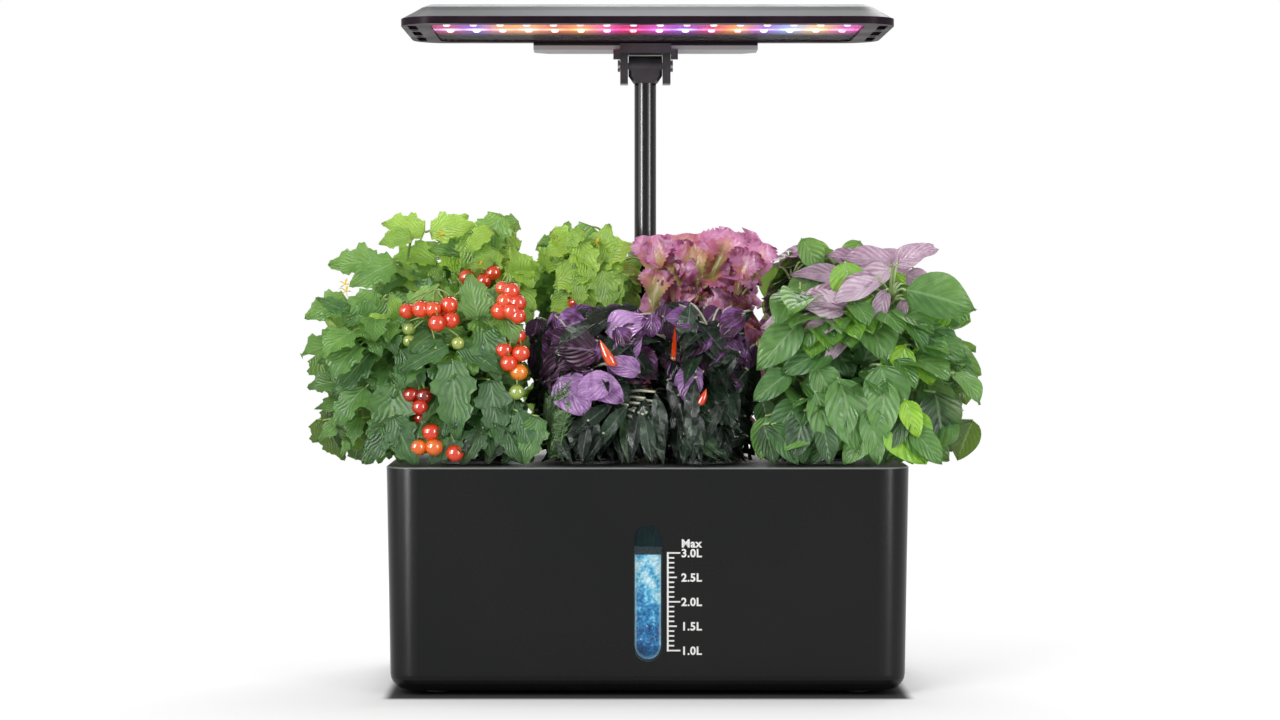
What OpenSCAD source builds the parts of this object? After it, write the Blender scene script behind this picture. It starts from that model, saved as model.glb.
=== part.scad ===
// Countertop hydroponic growing system: water tank, planting deck with pump,
// telescopic mast and tilting grow lamp.
// The origin is on the floor under the middle of the tank. +Z is up and -Y is the front.

/* [Tank] */
// Width of the tank at its rim
tank_w = 287; // [270:1:310]
// Depth of the tank at its rim
tank_d = 160; // [158:1:180]
// Height of the tank without its feet
tank_h = 122.5; // [112:0.5:150]
// Wall thickness of the tank
tank_wall = 2.6; // [2.2:0.1:3.2]
// Floor thickness of the tank
floor_t = 3; // [2.5:0.1:4]
// Plan radius of the tank's corners at the rim
corner_r = 18; // [15:0.5:24]
// How much each side of the tank draws in at the base
draft = 2.2; // [1:0.1:3]
// Radius of the round between walls and floor
base_round = 9; // [6:0.5:11]
// Bevel on the outer edge of the rim
rim_bevel = 0.4; // [0.2:0.1:0.6]
// Height of a foot below the tank
foot_h = 2.5; // [2:0.1:4]
// Radius of a foot
foot_r = 6; // [4:0.5:8]
// Depth of the pocket that a foot is glued into
foot_seat = 0.8; // [0.5:0.1:1.2]
// Distance of a foot's centre from the tank's side
foot_inset = 27; // [22:1:40]

/* [Level window] */
// Width of the water window
window_w = 15.3; // [12:0.1:18]
// Height of the water window
window_h = 74; // [60:1:80]
// Height of the window's middle above the tank's base
window_z = 54; // [50:0.5:58]
// Width of the lens flange behind the wall
flange_w = 4; // [3:0.5:5]
// Thickness of the lens flange
flange_t = 1.6; // [1.2:0.1:2]
// Thickness of the window seal
seal_t = 1; // [0.6:0.1:1.5]
// How far the lens lies behind the wall's outer face
lens_recess = 0.3; // [0.1:0.1:0.6]
// Height of the full water level above the tank's base
level_z = 79; // [70:0.5:84]
// Thickness of the water seen behind the lens
level_t = 6; // [4:0.5:8]

/* [Deck] */
// Thickness of the deck plate
deck_t = 2.4; // [2:0.1:3]
// Width of the ledge inside the rim that carries the deck
ledge_w = 1.3; // [1:0.1:1.6]
// Depth of the skirt under the deck
skirt_h = 8; // [5:0.5:10]
// Wall thickness of the skirt and the ribs
skirt_wall = 1.6; // [1.2:0.1:2]
// Clearance between the deck and the tank
deck_gap = 0.3; // [0.2:0.05:0.4]

/* [Pods] */
// Distance between neighbouring pods across the deck
pod_pitch = 66; // [62:0.5:70]
// Clearance between the rear row of pods and the control housing
pod_clear = 1.3; // [0.5:0.1:4]
// Radius of a basket's body under its flange
basket_r = 15; // [13:0.5:16]
// Clearance between a basket and its hole
basket_gap = 0.5; // [0.3:0.1:0.8]
// Height of the raised collar round a hole
collar_h = 1.6; // [1:0.1:2.5]
// Width of the collar
collar_w = 2; // [1.5:0.1:2.5]
// Thickness of a basket's flange
lip_t = 1.8; // [1.2:0.1:2.4]
// How far the flange reaches past the body
lip_w = 3.2; // [3:0.1:4]
// Height of a basket below its flange
basket_h = 46; // [40:1:55]
// How much a basket narrows towards its foot
basket_taper = 3.5; // [2:0.1:5]
// Wall thickness of a basket
basket_wall = 1.5; // [1.2:0.1:2]
// Number of slots round a basket
slot_n = 8; // [6:1:10]
// Width of a slot
slot_w = 3; // [2:0.1:3.5]
// Height of a sponge
sponge_h = 36; // [28:1:38]
// Clearance between a sponge and its basket
sponge_gap = 0.3; // [0.2:0.05:0.5]
// Radius of the planting hole in a sponge
plant_hole_r = 3.2; // [2.8:0.1:4]

/* [Control housing] */
// Width of the housing behind the pods
ctrl_w = 112; // [104:1:130]
// Depth of the housing
ctrl_d = 24; // [23:0.5:24.5]
// Height of the housing above the deck
ctrl_h = 12; // [11:0.5:16]
// Wall thickness of the housing
ctrl_wall = 1.8; // [1.5:0.1:2.2]
// Plan radius of the housing's corners
ctrl_r = 5; // [4:0.5:7]
// Radius of a button
button_r = 4.5; // [4:0.1:5]
// Distance between the two buttons
button_pitch = 14; // [13:0.5:16]
// Distance of the first button from the mast
button_x = 23; // [20:0.5:26]
// Height of a switch on the circuit board
switch_h = 3.5; // [3:0.1:3.8]
// Height of a button above the housing
button_rise = 1.1; // [1:0.1:1.5]
// Travel of a button
button_travel = 0.8; // [0.5:0.1:0.9]
// Clearance round a button
button_gap = 0.25; // [0.2:0.05:0.4]
// Thickness of the circuit board
board_t = 1.6; // [1:0.1:2]
// Distance of the power inlet from the mast
jack_x = 36; // [30:1:40]
// Radius of the inlet's barrel hole
jack_r = 3; // [2.8:0.1:3.4]
// Depth of the inlet's barrel hole
jack_depth = 9; // [8:0.5:10]

/* [Fill port] */
// Width of the fill port
port_w = 30; // [24:1:34]
// Depth of the fill port
port_d = 13; // [10:0.5:14]
// Distance of the port's middle from the middle of the deck
port_x = 95; // [85:1:100]
// Thickness of the flap
flap_t = 2; // [1.5:0.1:3]
// How far the flap reaches past the port
flap_lap = 1.5; // [1:0.1:2]
// Radius of the flap's pin
flap_pin_r = 1; // [0.8:0.1:1.2]

/* [Pump] */
// Width of the pump
pump_w = 44; // [40:1:52]
// Depth of the pump's body
pump_d = 22; // [20:1:28]
// Height of the pump
pump_h = 28; // [26:1:34]
// Height of the pump above the tank's floor
pump_lift = 4; // [2:0.5:8]
// Wall thickness of the inlet cover
grille_t = 2; // [1.6:0.1:2.5]
// Depth of the foam filter
foam_t = 5; // [4:0.5:8]
// Number of inlet slots
inlet_n = 7; // [5:1:8]
// Radius of the impeller's blades
blade_r = 9; // [8:0.5:10]
// Number of blades
blade_n = 6; // [4:1:8]
// Height of the blades
blade_h = 4; // [3:0.5:5]
// Radius of the rotor behind the blades
rotor_r = 6; // [5:0.5:7]
// Length of the rotor
rotor_l = 11; // [9:0.5:13]
// Radius of the pump's shaft
shaft_r = 1.2; // [1:0.1:1.5]
// Running clearance of the impeller in its chamber
impeller_gap = 0.6; // [0.4:0.1:0.8]
// Outer radius of the riser tube
riser_r = 5; // [4.5:0.1:6]
// Wall thickness of the riser tube
riser_wall = 1.4; // [1:0.1:1.6]

/* [Mast] */
// Distance of the mast from the tank's rear side
mast_inset = 17.5; // [17:0.5:21]
// Outer radius of the lower tube
lower_r = 8; // [7.5:0.1:9]
// Wall thickness of the lower tube
lower_wall = 1.2; // [1:0.05:1.2]
// Height of the lower tube above the deck
lower_h = 119; // [110:1:120]
// Outer radius of the upper tube
upper_r = 6.5; // [6:0.05:6.5]
// Wall thickness of the upper tube
upper_wall = 1.1; // [0.8:0.1:1.4]
// Running clearance of the upper tube in its clamp
slide_gap = 0.1; // [0.05:0.01:0.15]
// Length of tube that stays engaged at full height
engaged_l = 30; // [25:1:32]
// Depth of the mast's socket below the deck plate
socket_h = 12; // [10:0.5:16]
// Wall thickness of the socket
socket_wall = 3; // [2.5:0.1:3.2]
// Height of the nut on the control housing
nut_h = 7; // [5:0.5:9]
// Height of the clamp on the lower tube
clamp_h = 13; // [10:0.5:14]
// Height of the hinge pin above the deck at full height
pin_rise = 229.5; // [226:0.5:240]

/* [Hinge] */
// Radius of the hinge pin
pin_r = 2; // [1.5:0.1:2.5]
// Running clearance round the hinge pin
pin_gap = 0.05; // [0.03:0.01:0.08]
// Radius of the knuckle
knuckle_r = 6; // [5.5:0.1:6.5]
// Width of the knuckle
knuckle_w = 20; // [16:0.5:24]
// Thickness of an ear
ear_t = 4.6; // [4:0.1:5]
// Width of an ear from front to back
ear_d = 14; // [12:0.5:16]
// How far the ears reach below the pin
ear_drop = 11; // [8:0.5:12]
// Clearance between the knuckle and the bracket
ear_gap = 0.3; // [0.2:0.05:0.5]
// Distance from the pin down to the end of the upper tube
neck_h = 10.5; // [9:0.5:12]
// Thickness of the bracket's plate
bracket_t = 1.9; // [1.5:0.1:3]
// Height of the lip in front of the bracket
apron_h = 3.6; // [3:0.1:4]

/* [Lamp] */
// Width of the lamp
lamp_w = 272; // [250:1:290]
// Depth of the lamp
lamp_d = 126; // [118:1:134]
// Distance from the mast to the lamp's rear edge
lamp_back = 12.5; // [11:0.5:14]
// Plan radius of the lamp's corners
lamp_r = 20; // [18:0.5:24]
// Height of the lower frame
bezel_h = 4; // [3.5:0.1:5]
// Height of the upper shell
shell_h = 8; // [7:0.1:10]
// How far the upper shell slopes in
shell_slope = 16; // [14:0.5:17]
// Wall thickness of the upper shell
shell_t = 1.8; // [1.5:0.1:2.2]
// Width of the frame at the lamp's ends
bezel_end = 16; // [15:0.5:20]
// Width of the frame along the lamp
bezel_side = 9; // [8:0.5:11]
// Plan radius of the light window's corners
glass_r = 8; // [6:0.5:10]
// Thickness of the clear cover
glass_t = 1.5; // [1.2:0.1:1.8]
// Width of the step that carries the clear cover
glass_step = 2; // [1.5:0.1:3]
// Clearance round the clear cover
glass_gap = 0.2; // [0.1:0.05:0.3]
// Thickness of the light board
panel_t = 1.6; // [1:0.1:2]
// Distance between neighbouring lights across the lamp
led_pitch = 15; // [12:0.5:15.5]
// Number of lights in a row
led_n = 16; // [10:1:16]
// Distance between the two rows of lights
led_row = 37; // [30:1:46]
// Width of a light
led_w = 4; // [3:0.5:5]
// Height of a light
led_h = 0.9; // [0.6:0.1:1.2]
// Width of an air slot at the lamp's ends
vent_w = 5; // [3:0.5:6]
// Length of an air slot
vent_l = 24; // [18:1:28]
// Distance between neighbouring air slots
vent_pitch = 36; // [32:1:38]
// Radius of a screw's head
screw_r = 2.2; // [1.8:0.1:2.6]
// Height of the rear housing's drop below the frame
drive_drop = 4.3; // [4:0.1:5]
// Width of the rear housing
drive_w = 132; // [110:1:150]
// Depth of the rear housing behind the lamp
drive_d = 24; // [22:0.5:26]
// Height of the rear housing
drive_h = 13; // [11:0.5:15]
// Reach of the rear housing under the lamp
drive_lap = 6; // [5:0.5:7]

/* [Plants] */
// Width over all the foliage
foliage_w = 376; // [360:1:390]
// How far foliage reaches in front of the tank
foliage_front = 1; // [0:0.5:3]
// Height of the tallest plant above the deck
foliage_h = 138; // [120:1:142]
// Gap that is kept between neighbouring plants
foliage_gap = 1.2; // [0.8:0.1:3]
// Thickness of a leaf
leaf_t = 1; // [0.8:0.1:1.2]
// Length of a tomato leaf's blade
tomato_leaf = 40; // [30:1:46]
// Length of a basil leaf's blade
basil_leaf = 38; // [28:1:44]
// Length of a lettuce leaf's blade
lettuce_leaf = 36; // [28:1:42]
// Length of a chilli leaf's blade
chilli_leaf = 32; // [24:1:38]
// Length of a herb leaf's blade
herb_leaf = 24; // [18:1:30]
// Radius of a cherry tomato
tomato_r = 5.5; // [4:0.5:7]
// Radius of a chilli
chilli_r = 4; // [3:0.5:5]

/* [Hidden] */
$fn = 64;
// Overshoot of a cutting shape past the face that it cuts
over = 1;
rim_z = foot_h + tank_h;
deck_z = rim_z - deck_t;
wall_tilt = atan(draft / tank_h);
wall_n = tank_wall * cos(wall_tilt);

// A length to the nearest thousandth
function fine(x) = round(x * 1000) / 1000;

// The inset of the tank's side at a height above its base
function drawn_in(z) = fine(draft * (1 - z / tank_h));

// Side of a drafted tub from its floor to a top height, as [inset, height] points
function tub_side(floor_z, round_r, top_z) = concat(
    [for (a = [0 : 15 : 90])
        let (z = floor_z + round_r * (1 - cos(a)))
        [round_r * (1 - sin(a)) + drawn_in(z), z]],
    [[drawn_in(top_z), top_z]]);

// A block with round corners whose side follows the shape's [inset, height] points, insets below r
module shaped_block(w, d, r, shape) {
    side = [for (p = shape) [fine(p[0]), fine(p[1])]];
    last = len(side) - 1;
    bottom = side[0][1];
    top = side[last][1];
    quarter = concat([[0, bottom]], [for (p = side) [r - p[0], p[1]]], [[0, top]]);
    for (q = [0 : 3]) {
        sx = q == 0 || q == 3 ? 1 : -1;
        sy = q < 2 ? 1 : -1;
        translate([sx * (w / 2 - r), sy * (d / 2 - r), 0])
            rotate([0, 0, 90 * q])
                rotate_extrude(angle = 90) polygon(quarter);
    }
    rotate([90, 0, 0])
        linear_extrude(d - 2 * r, center = true) polygon(both_sides(w / 2, side));
    rotate([90, 0, 90])
        linear_extrude(w - 2 * r, center = true) polygon(both_sides(d / 2, side));
}

// A closed outline with the same side on the right and on the left
function both_sides(half, side) = concat(
    [for (p = side) [half - p[0], p[1]]],
    [for (i = [len(side) - 1 : -1 : 0]) [side[i][0] - half, side[i][1]]]);

// A plate with upright sides and round corners
module plate(w, d, r, bottom, top) {
    shaped_block(w, d, r, [[0, bottom], [0, top]]);
}

// A slot outline with round ends, upright
module pill(w, h) {
    square([w, h - w], center = true);
    for (s = [-1, 1]) translate([0, s * (h - w) / 2]) circle(d = w);
}

// The plane of the tank's front wall: X right, Y up the wall, Z outwards
module on_front_wall(z) {
    translate([0, drawn_in(z) - tank_d / 2, foot_h + z])
        rotate([90 + wall_tilt, 0, 0]) children();
}

// Tank
module foot_places() {
    for (sx = [-1, 1], sy = [-1, 1])
        translate([sx * (tank_w / 2 - foot_inset), sy * (tank_d / 2 - foot_inset), 0]) children();
}

module tank() {
    lip = tank_wall - ledge_w;
    outer = concat(tub_side(0, base_round, tank_h - rim_bevel), [[rim_bevel, tank_h]]);
    inner = tub_side(floor_t, base_round - tank_wall, tank_h + over);
    color("#202224")
        difference() {
            translate([0, 0, foot_h]) shaped_block(tank_w, tank_d, corner_r, outer);
            translate([0, 0, foot_h])
                shaped_block(tank_w - 2 * tank_wall, tank_d - 2 * tank_wall, corner_r - tank_wall, inner);
            plate(tank_w - 2 * lip, tank_d - 2 * lip, corner_r - lip, deck_z, rim_z + over);
            foot_places() cylinder(r = foot_r + deck_gap, h = foot_h + foot_seat);
            on_front_wall(window_z)
                translate([0, 0, -tank_wall - over])
                    linear_extrude(tank_wall + 2 * over) pill(window_w, window_h);
        }
}

module feet() {
    color("#151515") foot_places() cylinder(r = foot_r, h = foot_h + foot_seat);
}

// Level window
lens_gap = 0.15;
seat_gap = 0.02;
seal_back = -wall_n - seat_gap - seal_t;

module window_lens() {
    color("#9fd4e8", 0.5) on_front_wall(window_z) {
        translate([0, 0, seal_back])
            linear_extrude(-lens_recess - seal_back) pill(window_w - 2 * lens_gap, window_h - 2 * lens_gap);
        translate([0, 0, seal_back - flange_t])
            linear_extrude(flange_t) pill(window_w + 2 * flange_w, window_h + 2 * flange_w);
    }
}

module window_seal() {
    color("#101010") on_front_wall(window_z)
        translate([0, 0, seal_back])
            linear_extrude(seal_t)
                difference() {
                    pill(window_w + 2 * flange_w, window_h + 2 * flange_w);
                    pill(window_w + 2 * lens_gap, window_h + 2 * lens_gap);
                }
}

module level_water() {
    surface_y = level_z - window_z;
    color("#3d9ac4") on_front_wall(window_z)
        translate([0, 0, seal_back - flange_t - level_t])
            linear_extrude(level_t)
                intersection() {
                    pill(window_w, window_h);
                    translate([-window_w, surface_y - window_h]) square([2 * window_w, window_h]);
                }
}

// Deck
lip = tank_wall - ledge_w;
mast_y = tank_d / 2 - mast_inset;
// Each row of pods lies this far from the middle of the deck
row_y = mast_y - ctrl_d / 2 - pod_clear - basket_r - lip_w;
deck_w = tank_w - 2 * (lip + deck_gap);
deck_d = tank_d - 2 * (lip + deck_gap);
deck_r = corner_r - lip - deck_gap;
skirt_in = tank_wall + deck_gap + drawn_in(tank_h - deck_t - skirt_h);
hole_r = basket_r + basket_gap;
fit_gap = 0.1;
socket_r = lower_r + fit_gap + socket_wall;
sleeve_r = lower_r + fit_gap + 1.6;
cover_z = rim_z + ctrl_h - ctrl_wall;
riser_boss_h = 9;
rib_h = 4;
port_y = mast_y + 0.5;
port_wall = 1.6;
port_r = 2;
barrel_r = flap_pin_r + 1.1;
lug_w = 3;
rest_gap = 0.3;
flap_d = port_d + 2 * flap_lap;
flap_axis_y = port_y + flap_d / 2 + barrel_r;
flap_axis_z = rim_z + rest_gap + barrel_r;

function pod_x(i) = ((i - 1) % 4 - 1.5) * pod_pitch;
function pod_y(i) = i <= 4 ? -row_y : row_y;
module at_pod(i) translate([pod_x(i), pod_y(i), 0]) children();

// A cylinder along X, centred
module rod_x(r, l) rotate([0, 90, 0]) cylinder(r = r, h = l, center = true);

// A cylinder along Y that starts at the front
module rod_y(r, l) rotate([-90, 0, 0]) cylinder(r = r, h = l);

module deck() {
    color("#2b2d2f")
        difference() {
            union() {
                plate(deck_w, deck_d, deck_r, deck_z, rim_z);
                deck_skirt();
                deck_ribs();
                for (i = [1 : 8])
                    at_pod(i)
                        translate([0, 0, deck_z]) cylinder(r = hole_r + collar_w, h = deck_t + collar_h);
                translate([0, mast_y, deck_z - socket_h - skirt_wall])
                    cylinder(r = socket_r, h = socket_h + skirt_wall + deck_t / 2);
                translate([0, mast_y, deck_z]) cylinder(r = sleeve_r, h = cover_z - deck_z);
                translate([0, 0, deck_z - riser_boss_h])
                    cylinder(r = riser_r + skirt_wall, h = riser_boss_h + deck_t / 2);
                board_posts();
                translate([port_x, port_y, 0])
                    plate(port_w + 2 * port_wall, port_d + 2 * port_wall, port_r + port_wall,
                        deck_z - rib_h, rim_z);
                flap_lugs();
            }
            for (i = [1 : 8])
                at_pod(i)
                    translate([0, 0, deck_z - over]) cylinder(r = hole_r, h = deck_t + collar_h + 2 * over);
            translate([0, mast_y, deck_z - socket_h])
                cylinder(r = lower_r + fit_gap, h = socket_h + deck_t + ctrl_h + over);
            translate([0, 0, deck_z - riser_boss_h - over])
                cylinder(r = riser_r + fit_gap, h = riser_boss_h + over);
            translate([port_x, port_y, 0]) plate(port_w, port_d, port_r, deck_z - skirt_h, rim_z + over);
            translate([port_x, flap_axis_y, flap_axis_z]) rod_x(flap_pin_r + fit_gap / 2, port_w + over);
        }
}

module deck_skirt() {
    r = corner_r - skirt_in;
    difference() {
        plate(tank_w - 2 * skirt_in, tank_d - 2 * skirt_in, r, deck_z - skirt_h, deck_z + deck_t / 2);
        plate(tank_w - 2 * (skirt_in + skirt_wall), tank_d - 2 * (skirt_in + skirt_wall), r - skirt_wall,
            deck_z - skirt_h - over, deck_z);
    }
}

// Stiffening ribs under the deck, between the columns of pods
module deck_ribs() {
    for (s = [-1, 1])
        translate([s * pod_pitch - skirt_wall / 2, -row_y, deck_z - rib_h])
            cube([skirt_wall, 2 * row_y, rib_h + deck_t / 2]);
}

module flap_lugs() {
    lug_x = port_w / 2 - lug_w;
    for (s = [-1, 1])
        translate([port_x + s * (lug_x + lug_w / 2), flap_axis_y, 0]) {
            translate([0, 0, flap_axis_z]) rod_x(barrel_r, lug_w);
            translate([-lug_w / 2, -barrel_r, rim_z - deck_t / 2])
                cube([lug_w, 2 * barrel_r, flap_axis_z - rim_z + deck_t / 2]);
        }
}

module fill_flap() {
    barrel_l = port_w - 2 * (lug_w + rest_gap);
    notch_l = port_w + 2 * rest_gap;
    front_y = port_y - flap_d / 2;
    tab_w = 10;
    color("#333538")
        difference() {
            union() {
                translate([port_x, port_y, 0])
                    plate(port_w + 2 * flap_lap, flap_d, port_r + flap_lap,
                        rim_z + rest_gap, rim_z + rest_gap + flap_t);
                translate([port_x - tab_w / 2, front_y - flap_lap, rim_z + rest_gap])
                    cube([tab_w, 2 * flap_lap, flap_t]);
                translate([port_x - barrel_l / 2, flap_axis_y - barrel_r - flap_lap, rim_z + rest_gap])
                    cube([barrel_l, barrel_r + flap_lap, flap_t]);
                translate([port_x, flap_axis_y, flap_axis_z]) rod_x(barrel_r, barrel_l);
            }
            translate([port_x, flap_axis_y, flap_axis_z]) rod_x(flap_pin_r + fit_gap / 2, notch_l);
        }
}

module flap_pin() {
    color("#b5b7b9") translate([port_x, flap_axis_y, flap_axis_z]) rod_x(flap_pin_r, port_w);
}

// Control housing, with its board, buttons, lights and power inlet
button_lip = 1;
stem_l = 2;
board_z = cover_z - fit_gap - button_lip - stem_l - button_travel - rest_gap - switch_h - board_t;
light_y = mast_y + 7.5;
light_r = 1;
jack_z = (rim_z + cover_z) / 2;
jack_collar_r = jack_r + 1.2;

function button_at(k) = button_x + k * button_pitch;

module board_posts() {
    for (k = [0, 1])
        translate([button_at(k), light_y - 2 * light_r, rim_z - deck_t / 2])
            cylinder(r = 2, h = board_z - rim_z + deck_t / 2);
}

module control_cover() {
    edge = 1.2;
    color("#26282a")
        difference() {
            translate([0, mast_y, rim_z])
                shaped_block(ctrl_w, ctrl_d, ctrl_r,
                    [[0, 0], [0, ctrl_h - edge], [edge * 0.3, ctrl_h - edge * 0.3], [edge, ctrl_h]]);
            translate([0, mast_y, 0])
                plate(ctrl_w - 2 * ctrl_wall, ctrl_d - 2 * ctrl_wall, ctrl_r - ctrl_wall,
                    rim_z - over, cover_z);
            translate([0, mast_y, rim_z]) cylinder(r = lower_r + fit_gap, h = ctrl_h + over);
            for (k = [0, 1])
                translate([button_at(k), mast_y, rim_z])
                    cylinder(r = button_r + button_gap, h = ctrl_h + over);
            for (k = [0 : 2])
                translate([button_x + k * button_pitch / 2, light_y, rim_z])
                    cylinder(r = light_r + fit_gap, h = ctrl_h + over);
            translate([-jack_x, mast_y, jack_z]) rod_y(jack_collar_r + fit_gap, ctrl_d);
        }
}

module circuit_board() {
    board_w = button_pitch + 4 * button_r;
    board_d = 2 * (light_y + 2 * light_r - mast_y) - over;
    color("#1f6b3a") {
        translate([button_x - 2 * button_r, mast_y - board_d / 2, board_z]) cube([board_w, board_d, board_t]);
        for (k = [0, 1])
            translate([button_at(k) - button_r / 2, mast_y - button_r / 2, board_z + board_t])
                cube([button_r, button_r, switch_h]);
    }
}

module button(k) {
    color("#d8dadb") translate([button_at(k), mast_y, cover_z - fit_gap]) {
        translate([0, 0, -button_lip]) cylinder(r = button_r + button_lip, h = button_lip);
        cylinder(r = button_r, h = ctrl_wall + fit_gap + button_rise);
        translate([0, 0, -button_lip - stem_l]) cylinder(r = button_r / 3, h = stem_l);
    }
}

module power_button() button(0);
module mode_button() button(1);

module status_lights() {
    board_top = board_z + board_t;
    color("#e8f0ff")
        for (k = [0 : 2])
            translate([button_x + k * button_pitch / 2, light_y, board_top])
                cylinder(r = light_r, h = rim_z + ctrl_h - board_top + fit_gap);
}

module dc_inlet() {
    rear_y = mast_y + ctrl_d / 2;
    body_h = cover_z - rim_z - 2 * rest_gap;
    body_d = jack_depth + 2;
    color("#0c0c0c") translate([-jack_x, rear_y, jack_z]) {
        difference() {
            union() {
                translate([0, -ctrl_wall - fit_gap, 0]) rod_y(jack_collar_r, ctrl_wall + fit_gap);
                translate([-body_h / 2, -ctrl_wall - fit_gap - body_d, -body_h / 2])
                    cube([body_h, body_d, body_h]);
            }
            translate([0, -jack_depth, 0]) rod_y(jack_r, jack_depth + over);
        }
        translate([0, -jack_depth - over, 0]) rod_y(jack_r / 3, jack_depth);
    }
}

// Pump, hung from the deck by its riser tube
pump_z = foot_h + floor_t + pump_lift;
pump_top = pump_z + pump_h;
pump_axis_z = pump_z + pump_h / 2;
chamber_d = blade_h + 2 * impeller_gap;
pump_front = -chamber_d / 2;
well_d = rotor_l + impeller_gap;
pump_r = 4;
spigot_h = 8;
channel_r = 1.8;
hub_r = 2.6;
foam_w = pump_w - 2 * grille_t;
tray_d = foam_t + 2 * rest_gap;
cover_y = pump_front - 2 * grille_t - tray_d;

module pump_body() {
    color("#1d1f21")
        difference() {
            union() {
                translate([0, pump_front + pump_d / 2, 0]) plate(pump_w, pump_d, pump_r, pump_z, pump_top);
                translate([0, 0, pump_top]) cylinder(r = riser_r - riser_wall - fit_gap, h = spigot_h);
            }
            translate([0, pump_front - over, pump_axis_z]) rod_y(blade_r + impeller_gap, chamber_d + over);
            translate([0, pump_front, pump_axis_z]) rod_y(rotor_r + impeller_gap, chamber_d + well_d);
            translate([0, pump_front, pump_axis_z])
                rod_y(shaft_r + fit_gap / 2, chamber_d + well_d + (pump_d - chamber_d - well_d) / 2);
            translate([0, 0, pump_axis_z]) cylinder(r = channel_r, h = pump_h + spigot_h);
        }
}

// The cover closes the chamber and holds the foam in a tray that is open at the top
module pump_cover() {
    slot_pitch = (foam_w - grille_t) / inlet_n;
    color("#2a2c2e")
        difference() {
            translate([-pump_w / 2, cover_y, pump_z]) cube([pump_w, pump_front - cover_y, pump_h]);
            translate([-foam_w / 2, cover_y + grille_t, pump_z + grille_t]) cube([foam_w, tray_d, pump_h]);
            for (i = [0 : inlet_n - 1])
                translate([(i - inlet_n / 2 + 0.25) * slot_pitch, cover_y - over, pump_z + 2 * grille_t])
                    cube([slot_pitch / 2, grille_t + 2 * over, pump_h - 4 * grille_t]);
            for (i = [0 : 5])
                translate([0, pump_front - grille_t - over, pump_axis_z])
                    rotate([0, 60 * i, 0]) translate([2 * hub_r, 0, 0]) rod_y(hub_r / 2, grille_t + 2 * over);
            translate([0, pump_front - grille_t / 2, pump_axis_z]) rod_y(shaft_r + fit_gap / 2, grille_t);
        }
}

module pump_filter() {
    color("#3c3f43")
        translate([-foam_w / 2 + rest_gap, cover_y + grille_t + rest_gap, pump_z + grille_t])
            cube([foam_w - 2 * rest_gap, foam_t, pump_h - grille_t]);
}

module pump_impeller() {
    disc_t = 1.2;
    blade_t = 1.2;
    color("#e9e9e4")
        translate([0, pump_front + impeller_gap, pump_axis_z])
            difference() {
                union() {
                    translate([0, blade_h - disc_t, 0]) rod_y(blade_r, disc_t);
                    rod_y(hub_r, blade_h);
                    for (i = [0 : blade_n - 1])
                        rotate([0, i * 360 / blade_n, 0])
                            translate([0, 0, -blade_t / 2])
                                cube([blade_r - over / 2, blade_h - disc_t / 2, blade_t]);
                    translate([0, blade_h - disc_t, 0]) rod_y(rotor_r, rotor_l + disc_t);
                }
                translate([0, -over, 0]) rod_y(shaft_r + fit_gap / 2, blade_h + rotor_l + 2 * over);
            }
}

module pump_shaft() {
    front = pump_front - grille_t / 2;
    back = pump_front + chamber_d + well_d + (pump_d - chamber_d - well_d) / 2;
    color("#c9ccce") translate([0, front + fit_gap, pump_axis_z]) rod_y(shaft_r, back - front - 2 * fit_gap);
}

module pump_riser() {
    low = pump_top + fit_gap;
    outlet_z = deck_z - riser_boss_h - 5;
    outlet_r = 1.6;
    color("#30343a")
        difference() {
            translate([0, 0, low]) cylinder(r = riser_r, h = deck_z - fit_gap - low);
            translate([0, 0, low - over]) cylinder(r = riser_r - riser_wall, h = deck_z - low);
            translate([0, 0, outlet_z]) rod_x(outlet_r, 4 * riser_r);
        }
}

// Mast
lower_top = rim_z + lower_h;
clamp_lip = 5;
clamp_r = lower_r + 2.4;
pin_z = rim_z + pin_rise;
upper_top = pin_z - neck_h;
upper_low = lower_top - engaged_l;

module tube(r, wall, low, top) {
    difference() {
        translate([0, mast_y, low]) cylinder(r = r, h = top - low);
        translate([0, mast_y, low - over]) cylinder(r = r - wall, h = top - low + 2 * over);
    }
}

module mast_lower() {
    color("#0e0f10") tube(lower_r, lower_wall, deck_z - socket_h, lower_top);
}

module mast_upper() {
    color("#0e0f10") tube(upper_r, upper_wall, upper_low, upper_top);
}

module mast_nut() {
    nut_r = lower_r + 3.4;
    grip_n = 16;
    color("#1b1c1e")
        translate([0, mast_y, rim_z + ctrl_h])
            difference() {
                cylinder(r = nut_r, h = nut_h);
                translate([0, 0, -over]) cylinder(r = lower_r + fit_gap, h = nut_h + 2 * over);
                for (i = [0 : grip_n - 1])
                    rotate([0, 0, i * 360 / grip_n])
                        translate([nut_r + 0.4, 0, over]) cylinder(r = 1, h = nut_h);
            }
}

// The clamp grips the lower tube and guides the upper one
module mast_clamp() {
    edge = 1;
    bottom = lower_top + clamp_lip - clamp_h;
    color("#1b1c1e")
        difference() {
            translate([0, mast_y, bottom])
                rotate_extrude()
                    polygon([[0, 0], [clamp_r - edge, 0], [clamp_r, edge], [clamp_r, clamp_h - 3 * edge],
                        [clamp_r - edge, clamp_h], [0, clamp_h]]);
            translate([0, mast_y, bottom - over])
                cylinder(r = lower_r + fit_gap, h = clamp_h - clamp_lip + over);
            translate([0, mast_y, bottom]) cylinder(r = upper_r + slide_gap, h = clamp_h + over);
        }
}

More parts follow.
